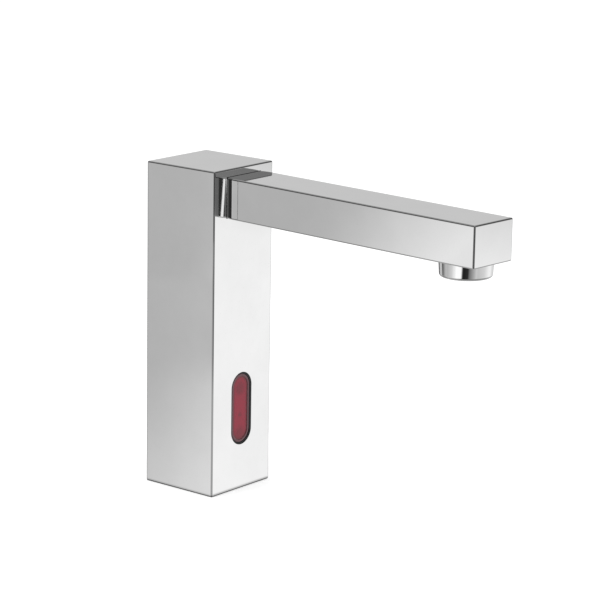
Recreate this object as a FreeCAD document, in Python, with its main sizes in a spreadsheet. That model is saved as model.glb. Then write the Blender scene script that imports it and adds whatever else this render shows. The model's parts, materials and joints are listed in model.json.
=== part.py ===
import FreeCAD, Part
import math
import os
from types import SimpleNamespace

import Sketcher

# Electronic basin tap: a square column with a sensor window, a swivelling spout with an
# aerator, and inside the column a solenoid valve that feeds the spout's swivel.
# Frame: origin on the deck at the centre of the base, +X towards the spout, +Z up. Millimetres.

Vector = FreeCAD.Vector
Rotation = FreeCAD.Rotation
Placement = FreeCAD.Placement

# name, size, what it is
sizeRows = [
    # column
    ("columnWidth", 45.0, "across the column, both ways"),
    ("columnHeight", 168.0, "deck to the top of the column"),
    ("columnWall", 3.0, "side walls of the column"),
    ("columnRoof", 2.6, "wall over the inside of the column"),
    ("edgeRound", 0.8, "rounding of the polished outer edges"),
    ("capHeight", 4.4, "column top above the spout's top face"),
    # spout, measured along its own centreline from the swivel axis
    ("spoutWidth", 28.3, "across the spout"),
    ("spoutHeight", 20.3, "height of the spout's section"),
    ("spoutReach", 154.0, "swivel axis to the spout's end face"),
    ("spoutWall", 2.6, "walls of the spout's waterway"),
    ("axisLead", 5.5, "swivel axis in front of the column's face"),
    ("spoutTurn", -3.5, "angle of the spout at rest, from straight ahead"),
    ("swing", 20.0, "swivel either way from straight ahead"),
    ("hubGap", 0.35, "gap all round the spout's rear end in its pocket"),
    ("pocketWall", 3.2, "wall behind the pocket"),
    # swivel joint inside the spout's rear end
    ("eyeRadius", 9.5, "banjo eye outside"),
    ("eyeHeight", 8.0, "banjo eye and tongue height"),
    ("tongueWidth", 10.0, "banjo tongue width"),
    ("tongueSink", 1.0, "tongue end let into the pocket's wall"),
    ("cavityGap", 0.3, "gap round the eye and beside the tongue"),
    ("pinRadius", 4.5, "swivel pin journal"),
    ("pinBore", 2.0, "waterway inside the swivel pin"),
    ("pinHeadRadius", 7.0, "threaded head of the swivel pin"),
    ("pinSocket", 3.0, "half width across the hexagon socket in the pin"),
    ("runningGap", 0.03, "radial running clearance on the pin"),
    ("floorThickness", 3.4, "spout floor under the eye"),
    ("washerThickness", 0.5, "slip washers over and under the eye"),
    ("washerPlay", 0.05, "axial play of the eye with its washers"),
    ("galleryRadius", 5.7, "water grooves round the pin"),
    ("galleryHeight", 3.0, "height of each water groove"),
    ("pinLand", 2.0, "pin's land between the cavity and the upper groove"),
    ("pinEnd", 1.0, "pin beyond the upper groove"),
    ("crossRadius", 1.4, "cross holes in the pin"),
    ("pinSink", 0.3, "foot of the pin above the spout's underside"),
    ("pinRoof", 0.6, "metal left over the pin's hexagon socket"),
    ("pinHeadroom", 0.2, "room over the end of the pin"),
    ("ringStep", 1.2, "pin O-ring from the water groove, in ring sections"),
    ("waterwayStart", 17.0, "where the spout's waterway begins, from the axis"),
    ("passageRadius", 2.2, "water passage through the banjo"),
    ("upperPassage", 1.6, "water passage from the upper groove to the waterway"),
    ("ringSection", 1.0, "O-ring section on the pin"),
    ("ringSqueeze", 0.1, "how much of the section each groove squeezes"),
    ("shankRadius", 4.9, "threaded banjo shank"),
    ("shankLength", 8.4, "threaded shank length from the tongue's end"),
    ("spigotRadius", 3.9, "plain end of the shank"),
    ("spigotLength", 9.0, "plain end length"),
    ("spigotRingShare", 0.6, "where the O-ring lies along the plain end"),
    ("shankNutWidth", 14.0, "across the flats of the shank nut"),
    ("shankNutHeight", 4.0, "thickness of the shank nut"),
    ("shankWasherThickness", 0.8, "washer under the shank nut"),
    ("seatPad", 8.0, "half width of the flat pad behind the pocket"),
    ("padThickness", 4.5, "wall at the pad, from the pocket's deepest point"),
    # base
    ("baseThickness", 8.0, "base plate"),
    ("baseGap", 0.1, "base plate to the column's walls"),
    ("bossSide", 8.0, "square corner bosses in the column"),
    ("bossGap", 0.5, "corner bosses and inlet boss below the sensor housing"),
    ("bossCap", 3.0, "metal over the end of each base screw"),
    ("baseScrewInset", 7.0, "base screws in from the outer faces"),
    ("screwRadius", 1.5, "small screws, shank"),
    ("screwHeadRadius", 2.8, "small screws, head"),
    ("screwHeadHeight", 2.2, "small screws, head height"),
    ("screwSink", 0.3, "base screw heads above the plate's underside"),
    ("socketShare", 0.8, "hexagon socket of a screw, in shank radii"),
    ("screwSlack", 0.05, "gap round a screw in its thread"),
    ("screwHoleGap", 0.25, "gap round a screw in its clearance hole"),
    ("sealSection", 1.8, "deck seal, section"),
    ("sealGap", 1.0, "deck seal's groove to the base screws"),
    ("portRadius", 4.5, "inlet thread"),
    ("portDepth", 9.0, "inlet thread length"),
    ("portBossRadius", 7.6, "boss round the inlet"),
    ("portX", -0.5, "inlet centre"),
    ("portY", -5.5, "inlet centre"),
    ("studRadius", 3.4, "thread for the fixing stud"),
    ("studBossRadius", 5.2, "boss round the stud thread"),
    ("studBossHeight", 4.0, "stud boss above the base plate"),
    ("studX", -3.6, "stud centre"),
    ("studY", 8.5, "stud centre"),
    ("grommetX", 8.0, "cable grommet centre"),
    ("grommetY", 4.5, "cable grommet centre"),
    ("grommetRadius", 3.6, "hole for the grommet"),
    ("grommetFlange", 1.4, "grommet flange beyond its hole"),
    ("grommetFlangeHeight", 1.2, "grommet flange above the plate"),
    ("cableRadius", 2.0, "cable hole in the grommet"),
    # pipes
    ("inletPipeRadius", 4.5, "inlet pipe outside"),
    ("outletPipeRadius", 3.5, "outlet pipe outside"),
    ("pipeWall", 0.8, "both pipes"),
    ("socketGap", 0.05, "radial gap of a pipe in its socket"),
    ("socketDepth", 5.0, "depth of each pipe socket"),
    ("pipeRingSection", 1.2, "O-ring section on the pipes"),
    ("strainerWall", 0.6, "wall of the strainer cup"),
    ("strainerRadius", 3.5, "hole for the strainer cup over the inlet thread"),
    ("strainerHeight", 3.4, "height of the strainer cup"),
    ("strainerRim", 0.8, "rim of the strainer, its width and height"),
    # valve
    ("valveX", 4.0, "valve axis"),
    ("valveGap", 0.2, "valve bracket above the sensor housing"),
    ("valveHeight", 21.0, "height of the valve body"),
    ("valveFront", 11.8, "valve body in front of the valve axis"),
    ("valveBack", 20.8, "valve body behind the valve axis"),
    ("valveHalfWidth", 12.6, "half width of the valve body"),
    ("riserBack", 15.4, "outlet port behind the valve axis"),
    ("chamberRadius", 9.4, "ring chamber under the diaphragm"),
    ("chamberDepth", 7.5, "depth of the ring chamber"),
    ("rebateRadius", 11.0, "seat of the diaphragm's rim"),
    ("rimThickness", 1.5, "thickness of the diaphragm's rim"),
    ("seatRadius", 4.6, "valve seat tube outside"),
    ("seatBore", 3.2, "valve seat tube bore"),
    ("seatDrop", 1.8, "valve seat below the top of the body"),
    ("portPassage", 2.2, "drilled passages of the valve body"),
    ("diskRadius", 6.5, "stiff middle of the diaphragm"),
    ("diskHeight", 3.2, "thickness of the diaphragm's middle"),
    ("webThickness", 0.8, "flexing web of the diaphragm"),
    ("bonnetHeight", 6.0, "bonnet plate"),
    ("bonnetHalf", 11.6, "half width of the bonnet plate"),
    ("pilotRadius", 8.8, "pilot chamber in the bonnet"),
    ("pilotDepth", 3.6, "depth of the pilot chamber"),
    ("bonnetScrewReach", 9.4, "bonnet screws from the axis, both ways"),
    ("bonnetScrewLength", 13.0, "length of the bonnet screws"),
    ("plungerRadius", 4.0, "solenoid plunger"),
    ("plungerGap", 0.05, "radial running clearance of the plunger"),
    ("plungerHeight", 19.0, "plunger length"),
    ("plungerStroke", 1.6, "room above the plunger, a little over its travel"),
    ("plungerBevel", 1.0, "bevel round the plunger's tip"),
    ("plungerFlat", 0.85, "flats along the plunger, in plunger radii"),
    ("padHeight", 1.2, "rubber pad on the plunger's tip"),
    ("padRadius", 2.4, "rubber pad radius"),
    ("coreHeight", 8.0, "fixed core at the top of the guide tube"),
    ("tubeWall", 0.9, "guide tube wall"),
    ("springRadius", 1.7, "plunger spring, middle of its wire"),
    ("springWire", 0.5, "plunger spring wire"),
    ("springBore", 2.3, "bore for the spring in the plunger"),
    ("springDepth", 8.0, "depth of that bore"),
    ("coilRadius", 9.4, "moulded coil"),
    ("tubeOver", 1.2, "guide tube beyond the coil nut"),
    ("coilFlange", 2.0, "thicker ends of the coil"),
    ("coilWaist", 0.7, "coil ends stand out by this"),
    ("yokeThickness", 1.5, "steel yoke"),
    ("yokeHalfWidth", 6.2, "half width of the yoke strip"),
    ("yokeGap", 0.4, "coil to yoke sides"),
    ("coilNutWidth", 15.0, "across the flats of the coil nut"),
    ("coilNutHeight", 3.0, "height of the coil nut"),
    ("bracketThickness", 1.5, "valve bracket sheet"),
    ("bracketHalfWidth", 8.5, "half width of the bracket strip"),
    ("bracketGap", 0.2, "bracket to the column's rear wall"),
    ("bracketFoot", 8.0, "length of the bracket's foot"),
    ("bracketShelf", 28.0, "length of the shelf under the valve"),
    ("bracketScrewInset", 3.4, "foot screws in from the end of the foot"),
    ("bracketScrewSpread", 5.0, "bracket screws either side of the middle"),
    ("elbowHalfWidth", 7.5, "half width of the outlet elbow"),
    ("elbowHeight", 16.0, "height of the outlet elbow"),
    ("elbowAbove", 6.5, "elbow above the shank's axis"),
    ("elbowRound", 1.0, "rounded corners of the elbow"),
    ("spigotRoom", 0.3, "room beyond the end of the spigot"),
    ("valveRound", 2.0, "rounded corners of the valve"),
    ("passageShare", 0.4, "height of the outlet passage in the valve body"),
    ("bracketScrewGrip", 4.0, "thread of each bracket screw"),
    ("plugWidth", 6.0, "coil connector"),
    ("plugHeight", 8.0, "coil connector"),
    ("plugReach", 1.4, "coil connector beyond the coil's ends"),
    ("plugRoot", 2.0, "coil connector let into the winding"),
    ("elbowGap", 3.2, "elbow to the shank nut"),
    ("elbowBack", 5.5, "elbow behind the outlet pipe"),
    # sensor
    ("windowHeight", 42.6, "middle of the sensor window above the deck"),
    ("windowWidth", 15.5, "sensor window"),
    ("windowLength", 38.0, "sensor window"),
    ("bezelWall", 1.4, "black bezel round the lens"),
    ("bezelFlange", 2.2, "bezel flange behind the wall"),
    ("bezelFlangeThickness", 1.5, "bezel flange"),
    ("bezelSink", 0.3, "bezel behind the column's face"),
    ("fitGap", 0.05, "pushed-in sensor parts"),
    ("lensSink", 2.6, "lens behind the column's face"),
    ("lensFlange", 4.2, "lens flange beyond its front"),
    ("lensFlangeThickness", 1.5, "lens flange"),
    ("housingHalfWidth", 11.2, "sensor housing"),
    ("housingHalfHeight", 23.5, "sensor housing"),
    ("housingDepth", 10.0, "sensor housing"),
    ("housingWall", 1.4, "sensor housing walls"),
    ("housingCorner", 4.0, "corner radius of the sensor housing"),
    ("earBeyond", 3.6, "sensor screws beyond the ends of the housing"),
    ("earRadius", 3.2, "screw ears of the housing"),
    ("earThickness", 2.5, "screw ears of the housing"),
    ("sensorBossRadius", 3.2, "bosses on the column's front wall"),
    ("boardThickness", 1.6, "circuit board"),
    ("boardGap", 0.5, "circuit board to the housing's walls"),
    ("boardStandoff", 2.0, "circuit board in front of the housing's back"),
    ("ledRadius", 2.4, "infrared emitter and receiver"),
    ("ledHeight", 2.4, "emitter and receiver, below their dome"),
    ("emitterRise", 10.5, "emitter above the window's middle"),
    ("receiverRise", -5.0, "receiver above the window's middle"),
    ("indicatorRise", -13.0, "indicator lamp above the window's middle"),
    ("baffleRise", 2.8, "light baffle above the window's middle"),
    ("baffleThickness", 1.6, "light baffle"),
    ("postRadius", 1.5, "posts under the circuit board"),
    ("postInset", 2.5, "posts in from the housing's inside"),
    ("indicatorShare", 0.6, "indicator lamp, in emitter radii"),
    ("connectorInset", 1.0, "connector in from the board's end"),
    ("connectorWidth", 6.0, "board connector"),
    ("connectorHeight", 4.0, "board connector"),
    ("connectorDepth", 3.6, "board connector"),
    ("connectorY", 6.0, "board connector, from the middle of the board"),
    ("chipSide", 4.4, "control chip"),
    ("chipHeight", 1.0, "control chip"),
    ("chipY", 5.6, "control chip, beside the indicator lamp"),
    # aerator, depths measured below the spout's underside
    ("aeratorSetback", 15.8, "aerator axis behind the spout's end face"),
    ("aeratorRadius", 13.1, "aerator housing under the spout"),
    ("aeratorDrop", 7.5, "aerator below the spout"),
    ("aeratorTaper", 0.5, "radius lost towards the bottom"),
    ("aeratorRound", 1.4, "rounding of the aerator's lower edge"),
    ("aeratorThread", 11.7, "threaded neck of the aerator housing"),
    ("aeratorNeck", 5.0, "length of the threaded neck"),
    ("threadGap", 0.1, "radial gap of the neck in its port"),
    ("portShoulder", 9.6, "water opening over the aerator"),
    ("shoulderThickness", 1.6, "shoulder over the aerator washer"),
    ("aeratorWasher", 1.0, "thickness of the aerator washer"),
    ("cartridgeRadius", 10.2, "aerator cartridge"),
    ("cartridgeWall", 0.9, "cartridge wall"),
    ("cartridgeRim", 0.7, "cartridge rim beyond its body"),
    ("airWindowFloor", 0.8, "air windows in the cartridge"),
    ("airWindowHeight", 1.8, "air windows in the cartridge"),
    ("airWindowWidth", 2.4, "air windows in the cartridge"),
    ("washerInset", 0.2, "aerator washer inside its thread"),
    ("washerLip", 1.0, "aerator washer inside the shoulder"),
    ("rimHeight", 1.2, "cartridge rim height"),
    ("lipRadius", 8.7, "opening in the bottom of the aerator housing"),
    ("lipHeight", 1.2, "lip under the cartridge"),
    ("gridHeight", 3.0, "outlet grid"),
    ("gridCell", 2.6, "pitch of the outlet grid's cells"),
    ("gridWeb", 0.5, "wall between two cells"),
    ("screenThickness", 0.4, "fine mesh screens"),
    ("screenRim", 1.0, "height of each screen's rim"),
    ("screenRimWidth", 0.7, "width of each screen's rim"),
    ("regulatorHole", 1.1, "holes of the flow regulator"),
    ("pilotHole", 0.6, "pilot hole through the diaphragm"),
    ("coreRecess", 1.5, "spring seat in the fixed core"),
    ("regulatorHeight", 2.6, "flow regulator"),
]


class Size:
    # a number together with the sheet formula it comes from, so one expression gives both
    def __init__(self, number, formula):
        self.number = number
        self.formula = formula

    def combine(self, other, sign, number):
        return Size(number, "(%s %s %s)" % (self.formula, sign, asSize(other).formula))

    def __add__(self, other):
        return self.combine(other, "+", self.number + asSize(other).number)

    def __sub__(self, other):
        return self.combine(other, "-", self.number - asSize(other).number)

    def __mul__(self, other):
        return self.combine(other, "*", self.number * asSize(other).number)

    def __truediv__(self, other):
        return self.combine(other, "/", self.number / asSize(other).number)

    def __radd__(self, other):
        return asSize(other) + self

    def __rsub__(self, other):
        return asSize(other) - self

    def __rmul__(self, other):
        return asSize(other) * self

    def __neg__(self):
        return Size(-self.number, "(-%s)" % self.formula)

    def root(self):
        return Size(math.sqrt(self.number), "sqrt(%s)" % self.formula)

    def sine(self):
        return Size(math.sin(math.radians(self.number)), "sin(%s * 1deg)" % self.formula)

    def cosine(self):
        return Size(math.cos(math.radians(self.number)), "cos(%s * 1deg)" % self.formula)


def asSize(value):
    return value if isinstance(value, Size) else Size(float(value), "%.6g" % value)


doc = FreeCAD.newDocument("SensorTap")
sheet = doc.addObject("Spreadsheet::Sheet", "Sizes")
for row, (name, number, note) in enumerate(sizeRows, start=1):
    sheet.set("A%d" % row, note)
    sheet.set("B%d" % row, str(number))
    sheet.setAlias("B%d" % row, name)
doc.recompute()
s = SimpleNamespace(**{name: Size(float(sheet.get(name)), "Sizes." + name)
                       for name, number, note in sizeRows})

# places worked out once from the sizes above
half = s.columnWidth / 2
inner = half - s.columnWall
axisX = half + s.axisLead
spoutTop = s.columnHeight - s.capHeight
spoutFloor = spoutTop - s.spoutHeight
hubRadius = s.spoutWidth / 2
eyeBottom = s.floorThickness + s.washerPlay + s.washerThickness
eyeMiddle = eyeBottom + s.eyeHeight / 2
eyeTop = eyeBottom + s.eyeHeight
cavityTop = eyeTop + s.washerThickness + s.washerPlay
galleryFloor = cavityTop + s.pinLand
galleryMiddle = galleryFloor + s.galleryHeight / 2
pinTop = galleryFloor + s.galleryHeight + s.pinEnd
shankMiddle = spoutFloor + eyeMiddle
pocketRadius = hubRadius + s.hubGap
pocketBack = axisX - pocketRadius
padFace = pocketBack - s.padThickness
tongueEnd = pocketBack - s.tongueSink
riserX = s.valveX - s.riserBack
earRise = s.housingHalfHeight + s.earBeyond
valveFloor = s.windowHeight + earRise + s.earRadius + s.valveGap + s.bracketThickness
valveTop = valveFloor + s.valveHeight
bonnetTop = valveTop + s.bonnetHeight
tubeRadius = s.plungerRadius + s.plungerGap + s.tubeWall
diskBottom = valveTop - s.seatDrop
plungerFloor = diskBottom + s.diskHeight
coreFloor = plungerFloor + s.plungerHeight + s.plungerStroke
tubeTop = coreFloor + s.coreHeight
coilFloor = bonnetTop + s.yokeThickness
coilTop = tubeTop - s.tubeOver - s.coilNutHeight - s.yokeThickness
bossTop = s.windowHeight - s.housingHalfHeight - s.bossGap
baseScrewEnd = bossTop - s.bossCap
screwSpot = half - s.baseScrewInset
sealRadius = (screwSpot * math.sqrt(2) - s.screwHeadRadius - s.screwHoleGap - s.sealGap
              - s.sealSection / 2)
socketFloor = bossTop - s.socketDepth
elbowFront = padFace - s.shankWasherThickness - s.shankNutHeight - s.elbowGap - riserX
elbowFloor = shankMiddle - s.elbowHeight + s.elbowAbove
aeratorX = s.spoutReach - s.aeratorSetback
lensFace = half - s.lensSink
flangeBack = inner - s.bezelFlangeThickness
housingFront = flangeBack - s.lensFlangeThickness
housingBack = housingFront - s.housingDepth
boardBack = housingBack + s.housingWall + s.boardStandoff
boardFront = boardBack + s.boardThickness

over = 1.0   # cuts run this far past the faces that they open
pieces = []


def bind(target, path, size):
    target.setExpression(path, asSize(size).formula)


def place(target, x=0, y=0, z=0, turn=0):
    # put an object at x, y, z, turned about its own vertical axis
    turn = asSize(turn)
    target.Placement = Placement(Vector(), Rotation(Vector(0, 0, 1), turn.number))
    if turn.number:
        bind(target, "Placement.Rotation.Angle", turn)
    for letter, spot in zip("xyz", (x, y, z)):
        bind(target, "Placement.Base." + letter, spot)


class Piece:
    # one sub-part as a body whose sketches are bound to the sheet
    def __init__(self, label, x=0, y=0, z=0, turn=0):
        self.body = doc.addObject("PartDesign::Body", label)
        self.body.Label = label
        place(self.body, x, y, z, turn)
        self.planes = {item.Role: item for item in self.body.Origin.OriginFeatures}
        pieces.append(self.body)

    def sketch(self, plane, lift):
        sketch = self.body.newObject("Sketcher::SketchObject", "Sketch")
        sketch.AttachmentSupport = [(self.planes[plane + "_Plane"], "")]
        sketch.MapMode = "FlatFace"
        # the XZ plane's own normal points along -Y, the other two along + their axis
        sign = -1 if plane == "XZ" else 1
        bind(sketch, "AttachmentOffset.Base.z", asSize(lift) * sign)
        return sketch

    def pin(self, sketch, index, spot, x, y):
        # place one point of the sketch from its origin
        for kind, size in (("DistanceX", x), ("DistanceY", y)):
            size = asSize(size)
            link = Sketcher.Constraint(kind, -1, 1, index, spot, size.number)
            bind(sketch, "Constraints[%d]" % sketch.addConstraint(link), size)

    def outline(self, plane, lift, corners):
        sketch = self.sketch(plane, lift)
        corners = [(asSize(x), asSize(y)) for x, y in corners]
        spots = [Vector(x.number, y.number, 0) for x, y in corners]
        for start, end in zip(spots, spots[1:] + spots[:1]):
            sketch.addGeometry(Part.LineSegment(start, end), False)
        for index in range(len(spots)):
            follower = (index + 1) % len(spots)
            sketch.addConstraint(Sketcher.Constraint("Coincident", index, 2, follower, 1))
        for index, (x, y) in enumerate(corners):
            self.pin(sketch, index, 1, x, y)
        return sketch

    def circle(self, plane, lift, x, y, radius):
        sketch = self.sketch(plane, lift)
        x, y, radius = asSize(x), asSize(y), asSize(radius)
        middle = Vector(x.number, y.number, 0)
        sketch.addGeometry(Part.Circle(middle, Vector(0, 0, 1), radius.number), False)
        self.pin(sketch, 0, 3, x, y)
        link = Sketcher.Constraint("Radius", 0, radius.number)
        bind(sketch, "Constraints[%d]" % sketch.addConstraint(link), radius)
        return sketch

    def stadium(self, plane, lift, x, y, radius, reach, along="y"):
        # two half circles of this radius whose centres stand this far either side of x, y
        sketch = self.sketch(plane, lift)
        x, y, radius, reach = asSize(x), asSize(y), asSize(radius), asSize(reach)
        step = Vector(0, reach.number, 0) if along == "y" else Vector(reach.number, 0, 0)
        side = Vector(radius.number, 0, 0) if along == "y" else Vector(0, radius.number, 0)
        middle = Vector(x.number, y.number, 0)
        first = 0 if along == "y" else math.pi * 1.5
        up, down = middle + step, middle - step
        top = Part.Circle(up, Vector(0, 0, 1), radius.number)
        low = Part.Circle(down, Vector(0, 0, 1), radius.number)
        sketch.addGeometry(Part.ArcOfCircle(top, first, first + math.pi), False)
        sketch.addGeometry(Part.ArcOfCircle(low, first + math.pi, first + math.tau), False)
        flip = 1 if along == "y" else -1
        sketch.addGeometry(Part.LineSegment(up - side * flip, down - side * flip), False)
        sketch.addGeometry(Part.LineSegment(down + side * flip, up + side * flip), False)
        for one, oneEnd, two, twoEnd in ((0, 2, 2, 1), (2, 2, 1, 1), (1, 2, 3, 1), (3, 2, 0, 1)):
            sketch.addConstraint(Sketcher.Constraint("Tangent", one, oneEnd, two, twoEnd))
        if along == "y":
            self.pin(sketch, 0, 3, x, y + reach)
            self.pin(sketch, 1, 3, x, y - reach)
        else:
            self.pin(sketch, 0, 3, x + reach, y)
            self.pin(sketch, 1, 3, x - reach, y)
        link = Sketcher.Constraint("Radius", 0, radius.number)
        bind(sketch, "Constraints[%d]" % sketch.addConstraint(link), radius)
        return sketch

    def grow(self, sketch, length, cut=False, taper=0):
        # pad or pocket towards + X, Y or Z
        kind = "PartDesign::Pocket" if cut else "PartDesign::Pad"
        feature = self.body.newObject(kind, "Pocket" if cut else "Pad")
        feature.Profile = sketch
        bind(feature, "Length", length)
        onSide = sketch.AttachmentSupport[0][0].Role == "XZ_Plane"
        feature.Reversed = cut != onSide
        if taper:
            feature.TaperAngle = taper
        sketch.Visibility = False
        return self

    def block(self, x0, x1, y0, y1, z0, z1, cut=False):
        corners = [(x0, y0), (x1, y0), (x1, y1), (x0, y1)]
        return self.grow(self.outline("XY", z0, corners), asSize(z1) - z0, cut)

    def slab(self, corners, z0, z1, cut=False):
        return self.grow(self.outline("XY", z0, corners), asSize(z1) - z0, cut)

    def rod(self, radius, z0, z1, x=0, y=0, cut=False):
        return self.grow(self.circle("XY", z0, x, y, radius), asSize(z1) - z0, cut)

    def rodX(self, radius, x0, x1, y=0, z=0, cut=False):
        return self.grow(self.circle("YZ", x0, y, z, radius), asSize(x1) - x0, cut)

    def spin(self, profile, cut=False):
        # turn a profile of (radius, height) corners about the Z axis
        sketch = self.outline("XZ", 0, profile)
        kind = "PartDesign::Groove" if cut else "PartDesign::Revolution"
        feature = self.body.newObject(kind, "Groove" if cut else "Revolution")
        feature.Profile = sketch
        feature.ReferenceAxis = (sketch, ["V_Axis"])
        feature.Angle = 360
        sketch.Visibility = False
        return self

    def soften(self, radius, wanted, kind="Fillet"):
        # round or bevel the edges that the test picks
        doc.recompute()
        tip = self.body.Tip
        names = ["Edge%d" % (i + 1) for i, edge in enumerate(tip.Shape.Edges) if wanted(edge)]
        feature = self.body.newObject("PartDesign::" + kind, kind)
        feature.Base = (tip, names)
        bind(feature, "Radius" if kind == "Fillet" else "Size", radius)
        return self


def near(first, second):
    return abs(first - asSize(second).number) < 0.01


def straight(edge, axis):
    # true for a straight edge along X, Y or Z
    if len(edge.Vertexes) != 2 or edge.Curve.TypeId != "Part::GeomLine":
        return False
    return abs(abs(edge.tangentAt(edge.FirstParameter)[axis]) - 1) < 1e-6


def atHeight(edge, height):
    return near(edge.BoundBox.ZMin, height) and near(edge.BoundBox.ZMax, height)


def solid(kind, label, x=0, y=0, z=0, lay=None, **dimensions):
    # a Part primitive bound to the sheet; lay turns its Z axis onto X or Y
    item = doc.addObject("Part::" + kind, label)
    for name, size in dimensions.items():
        bind(item, name, size)
    item.Placement = Placement(Vector(), {None: Rotation(),
                                          "x": Rotation(Vector(0, 1, 0), 90),
                                          "y": Rotation(Vector(1, 0, 0), -90)}[lay])
    for letter, size in zip("xyz", (x, y, z)):
        bind(item, "Placement.Base." + letter, asSize(size))
    return item


def fused(label, parts):
    item = doc.addObject("Part::MultiFuse", label)
    item.Shapes = parts
    item.Refine = True
    return item


def cut(label, base, tools):
    item = doc.addObject("Part::Cut", label)
    item.Base = base
    item.Tool = tools[0] if len(tools) == 1 else fused(label + "_tools", tools)
    item.Refine = True
    return item


def group(label, parts):
    # several loose solids kept as one sub-part
    item = doc.addObject("Part::Compound", label)
    item.Links = parts
    return keep(item, label)


def keep(item, label):
    item.Label = label
    pieces.append(item)
    return item


def screw(label, x, y, z, length, lay=None, down=True):
    # a button-headed screw with a hexagon socket; its head's underside is at x, y, z
    # and its shank runs down (or up, or along -X or +X when it lies along X)
    turn = {(None, True): Rotation(Vector(1, 0, 0), 180),
            (None, False): Rotation(),
            ("x", True): Rotation(Vector(0, 1, 0), -90),
            ("x", False): Rotation(Vector(0, 1, 0), 90)}[(lay, down)]
    head = solid("Cylinder", label + "_head", Radius=s.screwHeadRadius, Height=s.screwHeadHeight,
                 z=-s.screwHeadHeight)
    socket = doc.addObject("Part::Prism", label + "_socket")
    socket.Polygon = 6
    bind(socket, "Circumradius", s.screwRadius * s.socketShare)
    bind(socket, "Height", s.screwHeadHeight * 0.6)
    bind(socket, "Placement.Base.z", -s.screwHeadHeight)
    shank = solid("Cylinder", label + "_shank", Radius=s.screwRadius, Height=length)
    body = fused(label + "_body", [head, shank])
    whole = cut(label, body, [socket])
    whole.Placement = Placement(Vector(), turn)
    for letter, size in zip("xyz", (x, y, z)):
        bind(whole, "Placement.Base." + letter, asSize(size))
    return whole


def ring(label, radius, section, x=0, y=0, z=0, lay=None):
    return solid("Torus", label, x, y, z, lay, Radius1=radius, Radius2=asSize(section) / 2)


def hexNut(label, width, bore, height, x, y, z, lay=None):
    prism = doc.addObject("Part::Prism", label + "_hexagon")
    prism.Polygon = 6
    bind(prism, "Circumradius", width / math.sqrt(3))
    bind(prism, "Height", height)
    hole = solid("Cylinder", label + "_bore", Radius=bore, Height=height)
    nut = cut(label, prism, [hole])
    turn = Rotation(Vector(0, 1, 0), 90) if lay == "x" else Rotation()
    nut.Placement = Placement(Vector(), turn)
    for letter, size in zip("xyz", (x, y, z)):
        bind(nut, "Placement.Base." + letter, asSize(size))
    return nut


# ---- column and base ----

def columnShell():
    # cast square column, open below, with a pocket for the spout's rounded end
    # and a flat pad behind it for the swivel's shank
    shell = Piece("column_shell")
    shell.block(-half, half, -half, half, 0, s.columnHeight)
    shell.soften(s.edgeRound, lambda edge: straight(edge, 2) or atHeight(edge, s.columnHeight))
    shell.block(-inner, inner, -inner, inner, 0, s.columnHeight - s.columnRoof, cut=True)
    corner = inner - s.bossSide
    for signX in (-1, 1):
        for signY in (-1, 1):
            shell.block(corner * signX, inner * signX, corner * signY, inner * signY,
                        s.baseThickness, bossTop)
    # wall round the pocket, kept inside the column
    backing = pocketRadius + s.pocketWall
    spread = (backing * backing - (axisX - inner) * (axisX - inner)).root()
    low = spoutFloor - s.hubGap - s.pocketWall
    sketch = shell.sketch("XY", low)
    middle = Vector(axisX.number, 0, 0)
    start = math.pi - math.atan2(spread.number, (axisX - inner).number)
    arc = Part.Circle(middle, Vector(0, 0, 1), backing.number)
    sketch.addGeometry(Part.ArcOfCircle(arc, start, math.tau - start), False)
    sketch.addGeometry(Part.LineSegment(Vector(inner.number, -spread.number, 0),
                                        Vector(inner.number, spread.number, 0)), False)
    sketch.addConstraint(Sketcher.Constraint("Coincident", 0, 2, 1, 1))
    sketch.addConstraint(Sketcher.Constraint("Coincident", 1, 2, 0, 1))
    shell.pin(sketch, 0, 3, axisX, 0)
    shell.pin(sketch, 1, 1, inner, -spread)
    link = Sketcher.Constraint("DistanceX", -1, 1, 1, 2, inner.number)
    bind(sketch, "Constraints[%d]" % sketch.addConstraint(link), inner)
    shell.grow(sketch, s.columnHeight - s.columnRoof - low)
    shell.block(padFace, inner, -s.seatPad, s.seatPad, shankMiddle - s.seatPad,
                shankMiddle + s.seatPad)
    # bosses for the sensor screws
    for sign in (-1, 1):
        shell.rodX(s.sensorBossRadius, housingFront, inner, 0,
                   s.windowHeight + earRise * sign)
    # the pocket, the tongue's keyed seat and the shank's hole
    shell.rod(pocketRadius, spoutFloor - s.hubGap, spoutTop + s.hubGap, axisX, 0, cut=True)
    tongue = s.tongueWidth / 2 + s.screwSlack
    shell.block(tongueEnd, axisX, -tongue, tongue, shankMiddle - s.eyeHeight / 2 - s.screwSlack,
                shankMiddle + s.eyeHeight / 2 + s.screwSlack, cut=True)
    shell.rodX(s.shankRadius + s.screwSlack, padFace - over, tongueEnd + over, 0, shankMiddle, cut=True)
    # the sensor window and the screw holes
    windowReach = (s.windowLength - s.windowWidth) / 2
    window = shell.stadium("YZ", inner - over, 0, s.windowHeight, s.windowWidth / 2, windowReach)
    shell.grow(window, s.columnWall + 2 * over, cut=True)
    screwHole = s.screwRadius + s.screwSlack
    for sign in (-1, 1):
        shell.rodX(screwHole, housingFront, inner + over, 0,
                   s.windowHeight + earRise * sign, cut=True)
    for signX in (-1, 1):
        for signY in (-1, 1):
            shell.rod(screwHole, s.baseThickness, baseScrewEnd + over, screwSpot * signX,
                      screwSpot * signY, cut=True)


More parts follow.
